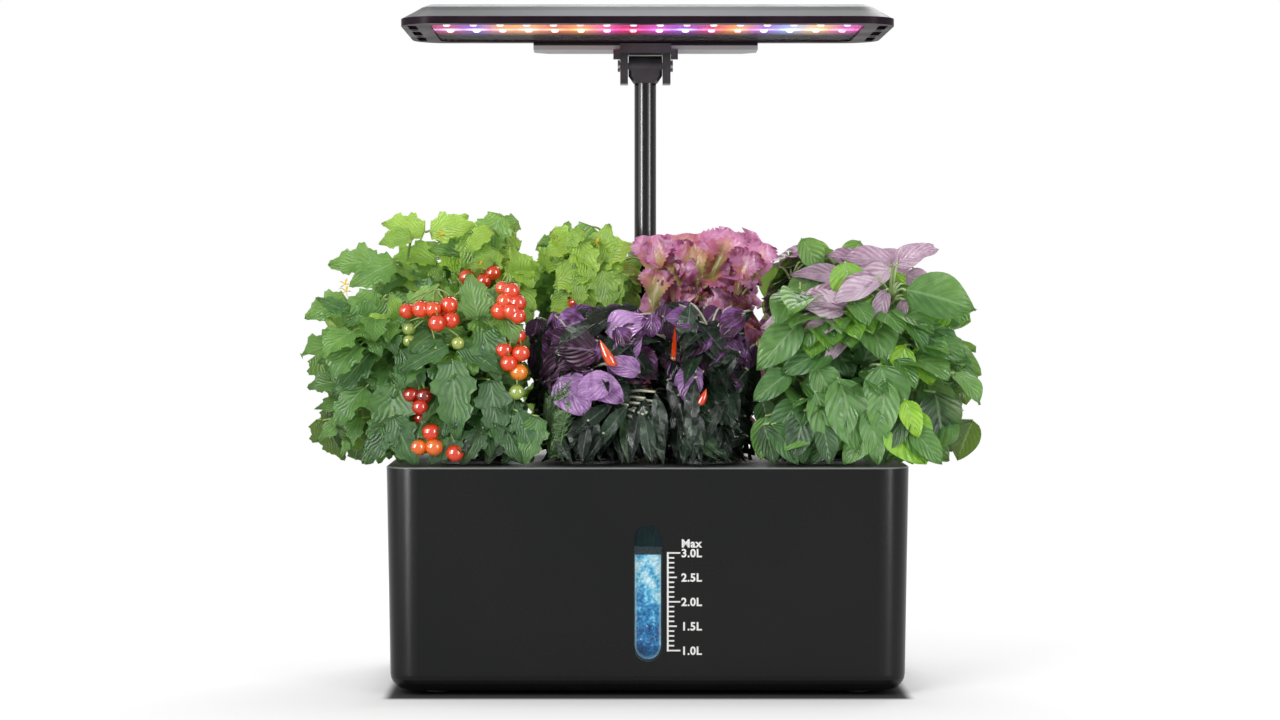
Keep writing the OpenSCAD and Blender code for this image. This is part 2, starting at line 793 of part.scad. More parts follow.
// The head turns on the pin; its spigot is fixed in the upper tube
module mast_head() {
    neck_d = 2 * (knuckle_r - 0.6);
    neck_top = pin_z - knuckle_r;
    spigot_l = 14;
    color("#2f3133")
        difference() {
            union() {
                translate([0, mast_y, pin_z]) rod_x(knuckle_r, knuckle_w);
                intersection() {
                    union() {
                        translate([0, mast_y, upper_top])
                            cylinder(r1 = upper_r + 0.6, r2 = knuckle_w / 2, h = neck_top - upper_top);
                        translate([0, mast_y, neck_top]) cylinder(r = knuckle_w / 2, h = knuckle_r);
                    }
                    translate([-knuckle_w / 2, mast_y - neck_d / 2, upper_top])
                        cube([knuckle_w, neck_d, neck_h]);
                }
                translate([0, mast_y, upper_top - spigot_l])
                    cylinder(r = upper_r - upper_wall - fit_gap, h = spigot_l + over);
            }
            translate([0, mast_y, pin_z]) rod_x(pin_r + pin_gap, knuckle_w + over);
        }
}

// Hinge
ear_in = knuckle_w / 2 + ear_gap;
ear_out = ear_in + ear_t;
bracket_z = pin_z + knuckle_r + ear_gap;
drive_z = bracket_z + bracket_t;
lamp_z = drive_z + drive_drop;
lamp_rear = mast_y - lamp_back;
lamp_y = lamp_rear - lamp_d / 2;
apron_y = lamp_rear - drive_lap - fit_gap - bracket_t;

module hinge_pin() {
    head_t = 1.4;
    color("#8b8d90") translate([0, mast_y, pin_z]) {
        rod_x(pin_r, 2 * (ear_out + fit_gap));
        for (s = [-1, 1]) translate([s * (ear_out + fit_gap + head_t / 2), 0, 0]) rod_x(pin_r + 1.5, head_t);
    }
}

module hinge_bracket() {
    wing = 4;
    wing_lap = 0.2;
    wing_d = 2 * bracket_t;
    wing_h = 3 * bracket_t;
    rear_y = mast_y + ear_d / 2;
    color("#2f3133")
        difference() {
            union() {
                translate([-ear_out, apron_y, bracket_z]) cube([2 * ear_out, rear_y - apron_y, bracket_t]);
                translate([-ear_out, apron_y, bracket_z]) cube([2 * ear_out, bracket_t, bracket_t + apron_h]);
                for (s = [-1, 1]) {
                    translate([s * (ear_in + ear_t / 2) - ear_t / 2, mast_y - ear_d / 2, pin_z - ear_drop])
                        cube([ear_t, ear_d, bracket_z + over - pin_z + ear_drop]);
                    translate([s * (ear_out + wing / 2) - wing / 2 - wing_lap / 2, apron_y, drive_z - wing_h])
                        cube([wing + wing_lap, wing_d, wing_h]);
                }
            }
            translate([0, mast_y, pin_z]) rod_x(pin_r + fit_gap, 2 * ear_out + over);
        }
}

// Driver housing behind the lamp, with a tongue under the lamp's rear edge
module driver_housing() {
    bevel = 8;
    half = drive_w / 2;
    tongue_y = lamp_rear - drive_lap;
    back_y = lamp_rear + drive_d;
    body_y = lamp_rear + rest_gap;
    color("#4a4c4f") {
        translate([0, 0, drive_z])
            linear_extrude(drive_drop - fit_gap)
                polygon([[-half, tongue_y], [half, tongue_y], [half, back_y - bevel], [half - bevel, back_y],
                    [bevel - half, back_y], [-half, back_y - bevel]]);
        translate([0, 0, drive_z])
            linear_extrude(drive_h)
                polygon([[-half, body_y], [half, body_y], [half, back_y - bevel], [half - bevel, back_y],
                    [bevel - half, back_y], [-half, back_y - bevel]]);
    }
}

// Lamp
shell_z = lamp_z + bezel_h;
glass_z = lamp_z + 0.8;
window_half_w = lamp_w / 2 - bezel_end;
window_half_d = lamp_d / 2 - bezel_side;
board_lap = 1.2;
panel_w = 2 * (window_half_w + glass_step + board_lap);
panel_d = 2 * (window_half_d + glass_step + board_lap);

// The shell's side: a bowed slope, as [inset, height] points
shell_side = [[0, 0], [0.44, 0.47], [0.71, 0.79], [1, 1]];

module in_lamp() translate([0, lamp_y, 0]) children();

// Depth of the air slots and screw recesses in the frame
vent_d = 2.5;

module vent_places() {
    for (sx = [-1, 1], k = [-1 : 1])
        translate([sx * (lamp_w / 2 - vent_w - over), k * vent_pitch, lamp_z]) children();
}

module screw_places() {
    for (sx = [-1, 1], k = [-0.5, 0.5])
        translate([sx * (lamp_w / 2 - vent_w - over), k * vent_pitch, lamp_z]) children();
}

module lamp_housing() {
    inner_h = shell_h - shell_t;
    rim = shell_t * 1.4;
    outer = [for (p = shell_side) [p[0] * shell_slope, p[1] * shell_h]];
    inner = concat([[0, -over]], [for (p = shell_side) [p[0] * shell_slope * 0.75, p[1] * inner_h]]);
    color("#6a6c6f") in_lamp() translate([0, 0, shell_z])
        difference() {
            shaped_block(lamp_w, lamp_d, lamp_r, outer);
            shaped_block(lamp_w - 2 * rim, lamp_d - 2 * rim, lamp_r - rim, inner);
        }
}

module lamp_bezel() {
    color("#1a1b1d") in_lamp()
        difference() {
            plate(lamp_w, lamp_d, lamp_r, lamp_z, shell_z);
            plate(2 * window_half_w, 2 * window_half_d, glass_r, lamp_z - over, shell_z + over);
            plate(2 * (window_half_w + glass_step), 2 * (window_half_d + glass_step), glass_r + glass_step,
                glass_z, shell_z + over);
            vent_places() translate([0, 0, -over]) linear_extrude(vent_d + over) pill(vent_w, vent_l);
            screw_places() translate([0, 0, -over]) cylinder(r = screw_r + fit_gap, h = over + vent_d);
        }
}

module lamp_screws() {
    head_h = 1.5;
    cross_l = 1.4 * screw_r;
    cross_w = 0.5;
    cross_d = 0.7;
    color("#a8aaad") in_lamp() screw_places() translate([0, 0, vent_d - head_h])
        difference() {
            cylinder(r = screw_r, h = head_h);
            translate([0, 0, -over])
                for (a = [0, 90])
                    rotate([0, 0, a])
                        translate([-cross_l / 2, -cross_w / 2, 0]) cube([cross_l, cross_w, over + cross_d]);
        }
}

module lamp_cover() {
    reach = glass_step - glass_gap;
    color("#dfe6ea", 0.4) in_lamp()
        plate(2 * (window_half_w + reach), 2 * (window_half_d + reach), glass_r + reach,
            glass_z, glass_z + glass_t);
}

module led_board() {
    color("#e6e6e6") in_lamp() plate(panel_w, panel_d, glass_r + glass_step, shell_z, shell_z + panel_t);
}

// Every light of one colour: 0 white, 1 red, 2 blue
function led_colour(col, row) = (col + 2 * row) % 4 == 1 ? 1 : (col + row) % 4 == 3 ? 2 : 0;

module leds(colour) {
    lens_h = 0.6;
    lens_share = 0.4;
    in_lamp()
        for (col = [0 : led_n - 1], row = [0, 1])
            if (led_colour(col, row) == colour)
                translate([(col - (led_n - 1) / 2) * led_pitch, (row - 0.5) * led_row, shell_z - led_h]) {
                    translate([-led_w / 2, -led_w / 2, 0]) cube([led_w, led_w, led_h]);
                    translate([0, 0, -lens_h]) cylinder(r = led_w * lens_share, h = lens_h + led_h / 2);
                }
}

module leds_white() color("#fff4dc") leds(0);
module leds_red() color("#ff4a4a") leds(1);
module leds_blue() color("#5a7dff") leds(2);

// Baskets and sponges
basket_z = rim_z + collar_h;
foot_ring = 4;
sponge_low = basket_z - basket_h + basket_wall + rest_gap;

// Radius of a basket's outside at a height
function basket_at(z) = basket_r - basket_taper * (basket_z - z) / basket_h;

module basket(i) {
    low_z = basket_z - basket_h;
    low_r = basket_r - basket_taper;
    slot_h = basket_h * 0.55;
    color("#1c1d1f") at_pod(i)
        difference() {
            translate([0, 0, low_z])
                rotate_extrude()
                    polygon([
                        [low_r - foot_ring, 0], [low_r, 0], [basket_r, basket_h],
                        [basket_r + lip_w - 0.6, basket_h], [basket_r + lip_w, basket_h + 0.6],
                        [basket_r + lip_w, basket_h + lip_t - 0.6], [basket_r + lip_w - 0.6, basket_h + lip_t],
                        [basket_r - basket_wall, basket_h + lip_t], [low_r - basket_wall, basket_wall],
                        [low_r - foot_ring, basket_wall]]);
            for (k = [0 : slot_n - 1])
                rotate([0, 0, (k + 0.5) * 360 / slot_n])
                    translate([low_r / 2, -slot_w / 2, low_z + basket_h * 0.15])
                        cube([basket_r, slot_w, slot_h]);
        }
}

module sponge(i) {
    top = sponge_low + sponge_h;
    in_gap = basket_wall + sponge_gap;
    color("#5b4a38") at_pod(i) translate([0, 0, sponge_low])
        difference() {
            cylinder(r1 = basket_at(sponge_low) - in_gap, r2 = basket_at(top) - in_gap, h = sponge_h);
            translate([0, 0, sponge_h / 2]) cylinder(r = plant_hole_r, h = sponge_h);
        }
}

module basket_1() basket(1);
module basket_2() basket(2);
module basket_3() basket(3);
module basket_4() basket(4);
module basket_5() basket(5);
module basket_6() basket(6);
module basket_7() basket(7);
module basket_8() basket(8);
module sponge_1() sponge(1);
module sponge_2() sponge(2);
module sponge_3() sponge(3);
module sponge_4() sponge(4);
module sponge_5() sponge(5);
module sponge_6() sponge(6);
module sponge_7() sponge(7);
module sponge_8() sponge(8);

// Plants, each inside its own cell of space
stem_r = plant_hole_r - rest_gap - fit_gap;
plant_z = basket_z + lip_t + 1.5;
root_z = sponge_low + sponge_h / 2 + rest_gap;
golden = 137.5;

// A steady value from 0 to 1 for leaf i
function chance(i, k) = let (v = sin(i * 127.1 + k * 311.7) * 4375.85) v - floor(v);

// How far pod i's cell reaches from its stem to the left, right, front and back
function cell(i) =
    let (col = (i - 1) % 4, half = (pod_pitch - foliage_gap) / 2, side = foliage_w / 2 - 1.5 * pod_pitch,
        front = tank_d / 2 + foliage_front - row_y,
        behind = [tank_d / 2, mast_y - clamp_r, mast_y - clamp_r, port_y - flap_d / 2 - flap_lap])
    [col == 0 ? side : half, col == 3 ? side : half,
        i <= 4 ? front : row_y - foliage_gap / 2,
        i <= 4 ? row_y - foliage_gap / 2 : behind[col] - foliage_gap - row_y];

// Distance from the stem to the cell's side at an angle
function reach(c, a) = min((cos(a) > 0 ? c[1] : c[0]) / max(abs(cos(a)), 0.01),
    (sin(a) > 0 ? c[3] : c[2]) / max(abs(sin(a)), 0.01));

// A leaf blade along X, folded at its midrib, that bends down by droop towards its tip
module blade(l, w, droop) {
    sag = w * 0.12;
    fall = [0, l * 0.35 * (1 - cos(droop)), l * sin(droop) * 0.5];
    rim = [[0, 0, 0], [l * 0.35, -w / 2, -sag], [l * 0.72, -w * 0.36, -sag - fall[1]], [l, 0, -fall[2]],
        [l * 0.72, w * 0.36, -sag - fall[1]], [l * 0.35, w / 2, -sag]];
    ridge = [[l * 0.35, 0, leaf_t / 2], [l * 0.72, 0, leaf_t / 2 - fall[1]]];
    under = [for (p = ridge) p - [0, 0, leaf_t]];
    half = [[0, 1, 6], [1, 2, 7], [1, 7, 6], [2, 3, 7], [3, 4, 7], [4, 5, 7], [5, 6, 7], [5, 0, 6]];
    polyhedron(concat(rim, ridge, under),
        concat([for (f = half) [f[2], f[1], f[0]]], [for (f = half) [for (v = f) v > 5 ? v + 2 : v]]));
}

// A straight stalk with three sides, from a to b
module stalk(a, b, r) {
    ring = [for (s = [0 : 2]) r * [0, cos(120 * s), sin(120 * s)]];
    hull()
        polyhedron([for (v = ring) a + v, for (v = ring) b + v * 0.7],
            [[0, 1, 2], [5, 4, 3], [0, 3, 4, 1], [1, 4, 5, 2], [2, 5, 3, 0]]);
}

stalk_r = 0.9;
// How much of a plant's height its stem reaches
stem_share = 0.88;
// How much of the way to its cell's side a leaf may reach
full_reach = 0.97;

// The foliage of pod i: n leaves on stalks round a stem of height h. A blade is l long and share
// as wide, its stalk rises by rise, and it lifts by lift and then droops by droop. The leaf in the
// middle of an outer plant points straight out.
module foliage(i, h, n, l, share, rise, lift, droop) {
    c = cell(i);
    col = (i - 1) % 4;
    middle = floor(n * 0.4);
    lead = col == 0 ? 180 : col == 3 ? 0 : 40 * i;
    for (k = [0 : n - 1]) {
        a = (k - middle) * golden + lead;
        t = (k + 0.5) / n;
        usual = (0.7 + (full_reach - 0.7) * chance(k, i)) * (1 - 0.2 * t * t);
        out = reach(c, a) * (k == middle ? full_reach : usual);
        size = min(l * (0.8 + 0.35 * chance(k, i + 9)), out * 0.85);
        start = out - size * (cos(lift) + sin(droop) * sin(lift) / 2);
        foot = t * h * 0.8;
        tip = min(foot + rise * l, h - size * sin(lift) - 2 * leaf_t);
        grip = size * 0.3;
        rotate([0, 0, a]) {
            stalk([0, 0, foot], [start + grip * cos(lift), 0, tip + grip * sin(lift)], stalk_r);
            translate([start, 0, tip]) rotate([0, -lift, 0]) blade(size, size * share, droop);
        }
    }
}

module plant(i, h, n, l, share, rise, lift, droop) {
    c = cell(i);
    at_pod(i) {
        translate([0, 0, root_z]) cylinder(r = stem_r, h = plant_z - root_z + h * stem_share, $fn = 6);
        intersection() {
            translate([-c[0], -c[2], plant_z]) cube([c[0] + c[1], c[2] + c[3], h]);
            translate([0, 0, plant_z]) {
                foliage(i, h, n, l, share, rise, lift, droop);
                children();
            }
        }
    }
}

// Fruit of radius r on stalks, in front of pod i's stem, between two shares of the height h
module fruit(i, h, n, r, low, high) {
    c = cell(i);
    for (k = [0 : n - 1]) {
        a = -90 + 60 * (2 * chance(k, 3) - 1);
        z = h * (low + (high - low) * (k + 0.5) / n);
        out = reach(c, a) * full_reach - 2 * r;
        rotate([0, 0, a]) {
            stalk([0, 0, z + r], [out, 0, z], stalk_r);
            translate([out, 0, z]) hull() sphere(r = r, $fn = 8);
        }
    }
}

leaf_top = foliage_h - collar_h - lip_t - 1.5;
front_top = leaf_top * 0.72;
middle_top = leaf_top * 0.92;

module tomato_front() color("#3f7d2c") plant(1, front_top, 24, tomato_leaf, 0.8, 0.4, 12, 50)
    fruit(1, front_top, 6, tomato_r, 0.15, 0.75);
module tomato_rear() color("#5c9a34") plant(5, leaf_top, 28, tomato_leaf, 0.8, 0.5, 15, 50)
    fruit(5, leaf_top, 4, tomato_r, 0.5, 0.85);
module tomato_middle() color("#4d8a30") plant(6, middle_top, 24, tomato_leaf, 0.8, 0.5, 15, 50)
    fruit(6, middle_top, 4, tomato_r, 0.4, 0.7);
module herb_plant() color("#4f8a3c") plant(2, leaf_top * 0.6, 26, herb_leaf, 0.55, 0.65, 30, 35);
module chilli_plant() color("#22381f") plant(3, front_top, 26, chilli_leaf, 0.35, 0.5, 20, 50)
    fruit(3, front_top, 2, chilli_r, 0.6, 0.85);
module lettuce_plant() color("#8a3a58") plant(7, leaf_top * 0.95, 22, lettuce_leaf, 0.9, 0.7, 45, 30);
module basil_front() color("#4f8f3a") plant(4, leaf_top * 0.78, 26, basil_leaf, 0.74, 0.4, 15, 50);
module basil_rear() color("#7da45a") plant(8, middle_top, 26, basil_leaf, 0.74, 0.5, 20, 50);

tank();
feet();
window_lens();
window_seal();
level_water();
deck();
control_cover();
circuit_board();
power_button();
mode_button();
status_lights();
dc_inlet();
fill_flap();
flap_pin();
pump_riser();
pump_body();
pump_cover();
pump_filter();
pump_impeller();
pump_shaft();
mast_nut();
mast_lower();
mast_clamp();
mast_upper();
mast_head();
hinge_pin();
hinge_bracket();
driver_housing();
lamp_housing();
lamp_bezel();
lamp_cover();
led_board();
leds_white();
leds_red();
leds_blue();
lamp_screws();
basket_1();
basket_2();
basket_3();
basket_4();
basket_5();
basket_6();
basket_7();
basket_8();
sponge_1();
sponge_2();
sponge_3();
sponge_4();
sponge_5();
sponge_6();
sponge_7();
sponge_8();
herb_plant();
chilli_plant();
tomato_front();
basil_front();
tomato_rear();
tomato_middle();
lettuce_plant();
basil_rear();
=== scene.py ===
import math
import random

import bpy
import numpy as np
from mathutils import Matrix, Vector, noise


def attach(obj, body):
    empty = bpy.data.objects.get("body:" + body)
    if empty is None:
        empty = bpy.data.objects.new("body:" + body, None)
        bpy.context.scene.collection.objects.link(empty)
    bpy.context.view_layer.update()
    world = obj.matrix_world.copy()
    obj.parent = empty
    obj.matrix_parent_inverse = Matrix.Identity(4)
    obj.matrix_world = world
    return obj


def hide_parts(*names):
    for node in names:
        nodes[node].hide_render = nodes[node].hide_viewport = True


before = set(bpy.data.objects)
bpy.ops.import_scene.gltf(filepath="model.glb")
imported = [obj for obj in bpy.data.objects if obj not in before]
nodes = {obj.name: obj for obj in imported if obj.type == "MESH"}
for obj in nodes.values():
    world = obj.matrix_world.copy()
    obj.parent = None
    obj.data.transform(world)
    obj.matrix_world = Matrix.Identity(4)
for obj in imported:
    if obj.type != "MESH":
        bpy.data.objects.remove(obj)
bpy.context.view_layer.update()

bpy.ops.object.select_all(action="DESELECT")
scene = bpy.context.scene
scene.view_settings.view_transform = "Standard"

# View
# The camera stands level in front of the tank, a little left of the mast. Its shift
# puts the tank low in the frame, as in the photograph.
eye = (-0.017, -1.58, 0.226)
lens = bpy.data.cameras.new("lens")
lens.sensor_width = 36
lens.lens = 77.625
lens.shift_x = 0.0182
lens.shift_y = -0.0609
camera = bpy.data.objects.new("camera", lens)
camera.location = eye
camera.rotation_euler = (math.pi / 2, 0, 0)
scene.collection.objects.link(camera)
scene.camera = camera

# Studio
# A white floor under a white sky, a large soft key from the left, a smaller fill from the
# right, and a light behind that shines through leaves. The strips and the wide boxes only
# show as highlights on gloss.


def paint(code):
    """A linear colour from its six-figure screen code."""
    parts = [int(code[i : i + 2], 16) / 255 for i in (0, 2, 4)]
    return [p / 12.92 if p <= 0.04045 else ((p + 0.055) / 1.055) ** 2.4 for p in parts] + [1.0]


class Wire:
    """A shader socket that can be used in sums like a number."""

    def __init__(self, tree, socket):
        self.tree = tree
        self.socket = socket

    def node(self, kind, settings=None, inputs=None, output=0):
        """Adds a node, sets it, then fills its inputs with values or wires."""
        made = self.tree.nodes.new("ShaderNode" + kind)
        settings = dict(settings or {})
        stops = settings.pop("stops", None)
        for name, value in settings.items():
            setattr(made, name, value)
        if stops:
            ramp = made.color_ramp
            ramp.elements.remove(ramp.elements[1])
            ramp.elements[0].position = stops[0][0]
            ramp.elements[0].color = paint(stops[0][1])
            for place, code in stops[1:]:
                ramp.elements.new(place).color = paint(code)
        for key, value in (inputs or {}).items():
            if isinstance(value, Wire):
                self.tree.links.new(value.socket, made.inputs[key])
            else:
                made.inputs[key].default_value = value
        return Wire(self.tree, made.outputs[output])

    def maths(self, operation, *others):
        return self.node("Math", {"operation": operation}, dict(enumerate((self, *others))))

    def __add__(self, other):
        return self.maths("ADD", other)

    def __sub__(self, other):
        return self.maths("SUBTRACT", other)

    def __mul__(self, other):
        return self.maths("MULTIPLY", other)

    def __truediv__(self, other):
        return self.maths("DIVIDE", other)

    def __abs__(self):
        return self.maths("ABSOLUTE")

    def ramp(self, low, high, start=0.0, end=1.0):
        """Turns smoothly from start to end as the value goes from low to high."""
        settings = {"interpolation_type": "SMOOTHSTEP"}
        return self.node("MapRange", settings, {0: self, 1: low, 2: high, 3: start, 4: end})

    def colours(self, *stops):
        """A colour from stops that say the place and the colour's code."""
        return self.node("ValToRGB", {"stops": stops}, {0: self})

    def mixed(self, other, share):
        """This colour, turned towards the other by a share."""
        return self.node("Mix", {"data_type": "RGBA"}, {0: share, 6: self, 7: other}, 2)

    def most(self, other):
        return self.maths("MAXIMUM", other)

    def scaled(self, share):
        return self.node("VectorMath", {"operation": "SCALE"}, {0: self, 3: share})

    def plus(self, other):
        return self.node("VectorMath", {"operation": "ADD"}, {0: self, 1: other})

    def axis(self, name):
        return self.node("SeparateXYZ", None, {0: self}, "XYZ".index(name))


class Finish:
    """A procedural material with its shader and its place on the piece."""

    def __init__(self, name, **sockets):
        self.material = bpy.data.materials.new(name)
        self.material.use_nodes = True
        self.tree = self.material.node_tree
        self.shader = self.tree.nodes["Principled BSDF"]
        coordinates = self.tree.nodes.new("ShaderNodeTexCoord")
        self.place = Wire(self.tree, coordinates.outputs["Object"])
        self.sheet = Wire(self.tree, coordinates.outputs["UV"])
        self.set(**sockets)

    def set(self, **sockets):
        """Sets or links sockets: base_color is the Base Color socket, and so on."""
        names = {"specular": "Specular IOR Level", "coat": "Coat Weight", "ior": "IOR"}
        for key, value in sockets.items():
            socket = self.shader.inputs[names.get(key, key.replace("_", " ").title())]
            if isinstance(value, Wire):
                self.tree.links.new(value.socket, socket)
            else:
                socket.default_value = value

    def grain(self, scale, detail, stretch=(1, 1, 1)):
        """Noise from 0 to 1, scale in turns per metre."""
        place = self.place.node("Mapping", None, {"Vector": self.place, "Scale": stretch})
        return place.node("TexNoise", None, {"Vector": place, "Scale": scale, "Detail": detail})

    def bump(self, height, depth):
        """Raises the surface by depth metres where height is 1."""
        inputs = {"Height": height, "Distance": depth, "Strength": 1.0}
        self.set(normal=height.node("Bump", None, inputs))

    def cells(self, scale, **settings):
        """Distance to the nearest cell centre, scale in cells per metre."""
        return self.place.node("TexVoronoi", settings, {"Vector": self.place, "Scale": scale})

    def tone(self):
        """The tone that each leaf, stem or fruit carries. For leaves it also holds painted light and shade."""
        return self.place.node("Attribute", {"attribute_name": "tone"}, None, 2)

    def blend(self, share, other):
        """Mixes another shader into this one by a share."""
        own = Wire(self.tree, self.shader.outputs[0])
        both = own.node("MixShader", None, {0: share, 1: own, 2: other})
        self.tree.links.new(both.socket, self.tree.nodes["Material Output"].inputs[0])


def moulded(name, specular, scale, dark, light, smooth, rough, skin=0, depth=0.00002):
    """Plastic or paint whose colour and gloss drift in a broad cloud, under a fine grain."""
    finish = Finish(name, specular=specular)
    cloud = finish.grain(scale, 3)
    finish.colour = cloud.colours((0.3, dark), (0.7, light))
    finish.rough = cloud.ramp(0.3, 0.7, smooth, rough)
    finish.set(base_color=finish.colour, roughness=finish.rough)
    if skin:
        finish.bump(finish.grain(skin, 1), depth)
    return finish


def dress(finish, *names):
    """Gives CAD nodes their finish."""
    for name in names:
        slots = nodes[name].data.materials
        slots.clear()
        slots.append(finish.material)


def clear_view(wire):
    """1 for rays that should see the plain white studio."""
    kinds = ("Camera", "Glossy", "Transmission")
    seen = [wire.node("LightPath", output=f"Is {kind} Ray") for kind in kinds]
    return seen[0].most(seen[1]).most(seen[2])


bpy.ops.mesh.primitive_plane_add(size=16, location=(0, 3, 0))
floor = bpy.context.object
floor.name = "floor"
# The floor turns plain white away from the tank, and in front of it, but keeps the shadow
# under its edge, where a painted contact shadow in the floor's colour darkens it further.
# Depths are in metres from the middle of the tank.
floor_paint = Finish("floor_paint", roughness=0.9, specular=0.0)
ground = floor_paint.place
from_tank = ground.node("Mapping", None, {0: ground, 1: (0, 2.85, 0)})
away = ground.node("VectorMath", {"operation": "LENGTH"}, {0: from_tank}, 1)
depth = ground.axis("Y") + 3.0
aside = abs(ground.axis("X"))
beside = aside.ramp(0.135, 0.165).most(depth.ramp(-0.080, -0.125)).most(depth.ramp(0.05, 0.15))
# Painted contact shadow: the floor's colour turns dark grey from under the tank's front edge backwards, between its
# sides.
painted_contact_shadow = depth.ramp(-0.089, -0.080) * aside.ramp(0.146, 0.139)
floor_paint.set(base_color=painted_contact_shadow.colours((0, "fafafa"), (1, "484848")))
lightened = away.ramp(0.30, 0.9, 0.3, 1.0).most(depth.ramp(-0.08, -0.20, 0.3, 0.85))
white = ground.node("Emission", None, {"Color": (1, 1, 1, 1), "Strength": 1.0})
floor_paint.blend(clear_view(away) * lightened * beside, white)
floor.data.materials.append(floor_paint.material)

sky = bpy.data.worlds.new("sky")
sky.use_nodes = True
scene.world = sky
sky_wire = Wire(sky.node_tree, sky.node_tree.nodes["Background"].outputs[0])
soft, plain = (
    sky_wire.node("Background", None, {"Color": (1, 1, 1, 1), "Strength": light}) for light in (0.62, 1.0)
)
both = sky_wire.node("MixShader", None, {0: clear_view(sky_wire), 1: soft, 2: plain})
sky.node_tree.links.new(both.socket, sky.node_tree.nodes["World Output"].inputs[0])


def softbox(name, place, target, size, power, gloss_only=False):
    """A rectangular studio light that looks at a target, or a reflector that only shows in gloss."""
    light = bpy.data.lights.new(name, "AREA")
    light.shape = "RECTANGLE"
    light.size, light.size_y = size
    light.energy = power
    lamp = bpy.data.objects.new(name, light)
    lamp.visible_diffuse = not gloss_only
    lamp.visible_transmission = not gloss_only
    lamp.location = place
    lamp.rotation_euler = (Vector(target) - Vector(place)).to_track_quat("-Z", "Y").to_euler()
    scene.collection.objects.link(lamp)


softbox("key", (-1.0, -1.5, 1.15), (0, 0, 0.2), (0.9, 0.9), 16)
softbox("fill", (1.05, -1.15, 0.6), (0, 0, 0.2), (0.5, 0.9), 4.0)
softbox("strip_left", (-1.10, -1.25, 0.35), (-0.1, 0, 0.15), (0.34, 1.7), 84.0, True)
softbox("strip_right", (1.25, -1.10, 0.35), (0.1, 0, 0.15), (0.26, 1.5), 28.0, True)
softbox("wide_left", (-1.45, -0.70, 0.35), (0, 0, 0.2), (0.9, 1.3), 14.0, True)
softbox("wide_right", (1.00, -1.15, 0.35), (0, 0, 0.2), (0.8, 1.3), 8.0, True)
softbox("leaf_back", (0.2, 1.1, 1.2), (0, 0, 0.2), (1.2, 0.6), 14)

# Tank
# One injection-moulded tub in near-black ABS with a fine spark-eroded texture. Its walls
# lean in to leave the mould, and its floor is rounded.
tank_plastic = moulded("tank_plastic", 0.17, 9, "0f1010", "141414", 0.22, 0.27)
skin = tank_plastic.grain(2600, 1)
# Painted highlight: from 124.1 mm up this finish turns light grey, for the light along the rim's top edge.
rim = tank_plastic.place.axis("Z").ramp(0.1241, 0.1247)
tank_plastic.set(
    base_color=tank_plastic.colour.mixed(paint("8a8b8c"), rim), roughness=tank_plastic.rough + skin * 0.05
)
tank_plastic.bump(skin, 0.00002)
dress(tank_plastic, "tank", "control_cover", "mast_nut", "mast_clamp")

# Feet and seal
# Four rubber discs glued into pockets under the floor, and the flat rubber gasket that
# the lens presses against the inside of the wall.
rubber = Finish("rubber", base_color=paint("141414"), specular=0.25)
dust = rubber.grain(900, 3)
rubber.set(roughness=dust.ramp(0.3, 0.7, 0.7, 0.9))
rubber.bump(dust, 0.00004)
dress(rubber, "feet", "window_seal")

# Level window
# A clear moulded lens in a slot through the front wall. Rippled, aerated water stands
# behind it up to the full mark. Its light is painted into its colour: lighter towards the
# top for light from above, a pale painted highlight and a dark painted shade along the
# slot's edge, dark painted shade above the full mark, white painted glints and a faint
# painted glow.
lens_clear = Finish("lens_clear", base_color=paint("3c5a60"), roughness=0.06, alpha=0.12, specular=0.3)
scratches = lens_clear.grain(420, 4, (1, 1, 0.15))
lens_clear.set(roughness=scratches.ramp(0.45, 0.75, 0.05, 0.14))
dress(lens_clear, "window_lens")

water = Finish("water", roughness=0.12, specular=0.5)
swirl = water.grain(150, 5, (1, 1, 0.8))
sparkle = water.grain(700, 3)
bubbles = water.cells(620.0)
height = water.place.axis("Z")
across = water.place.axis("X")
# Painted light and shade: the water is painted darker low down and lighter higher up, then dark again above the
# full mark.
painted_shade_by_height = height.ramp(0.022, 0.075, 0.30, -0.02) + height.ramp(0.074, 0.0815, 0.0, 0.28)
tone = swirl * 0.75 + sparkle * 0.55 - painted_shade_by_height
blues = ((0.30, "0c3a70"), (0.42, "1f78b8"), (0.53, "3fa4d8"), (0.64, "93dcf2"), (0.78, "ecfcff"))
slot_end_z = 0.02715
below = (height * -1.0 + slot_end_z).most(0.0)
ring = (across * across + below * below).maths("SQRT")
# A pale painted highlight runs along the slot's edge, with a dark painted shade outside it and above the full mark.
edge = ring.ramp(0.0056, 0.0068)
dark = ring.ramp(0.0069, 0.0073).most(height.ramp(0.0768, 0.0776))
# Painted glints: white specks on the bubbles.
glint = bubbles.ramp(0.30, 0.12) * sparkle.ramp(0.5, 0.7)
water_colour = tone.colours(*blues).mixed(paint("b9e9f5"), edge * 0.45)
water_colour = water_colour.mixed(paint("ffffff"), glint * 0.7).mixed(paint("06141c"), dark)
# The water's faint glow is painted light.
water.set(base_color=water_colour, emission_color=water_colour, emission_strength=0.30)
dress(water, "level_water")

# The litre scale is printed in white ink on the tank, with plain numbers.
ink = Finish("ink", base_color=paint("e2e2e0"), roughness=0.5, specular=0.2)
ink.bump(ink.grain(5000, 2), 0.00001)


def on_front(x, z):
    """A point just off the tank's front wall, which leans out from its foot to its rim."""
    foot_z, tall, lean, lift = 0.0025, 0.1225, 0.0022, 0.00012
    return Vector((x, -0.080 + lean * (1 - (z - foot_z) / tall) - lift, z))


def print_bar(shape, x0, x1, z0, z1):
    """Adds a printed bar to the scale."""
    bpy.ops.mesh.primitive_plane_add(size=1, location=((x0 + x1) / 2, (z0 + z1) / 2, 0))
    bar = bpy.context.object
    bar.scale = (x1 - x0, z1 - z0, 1)
    bpy.ops.object.transform_apply(location=True, rotation=True, scale=True)
    shape.append(bar)


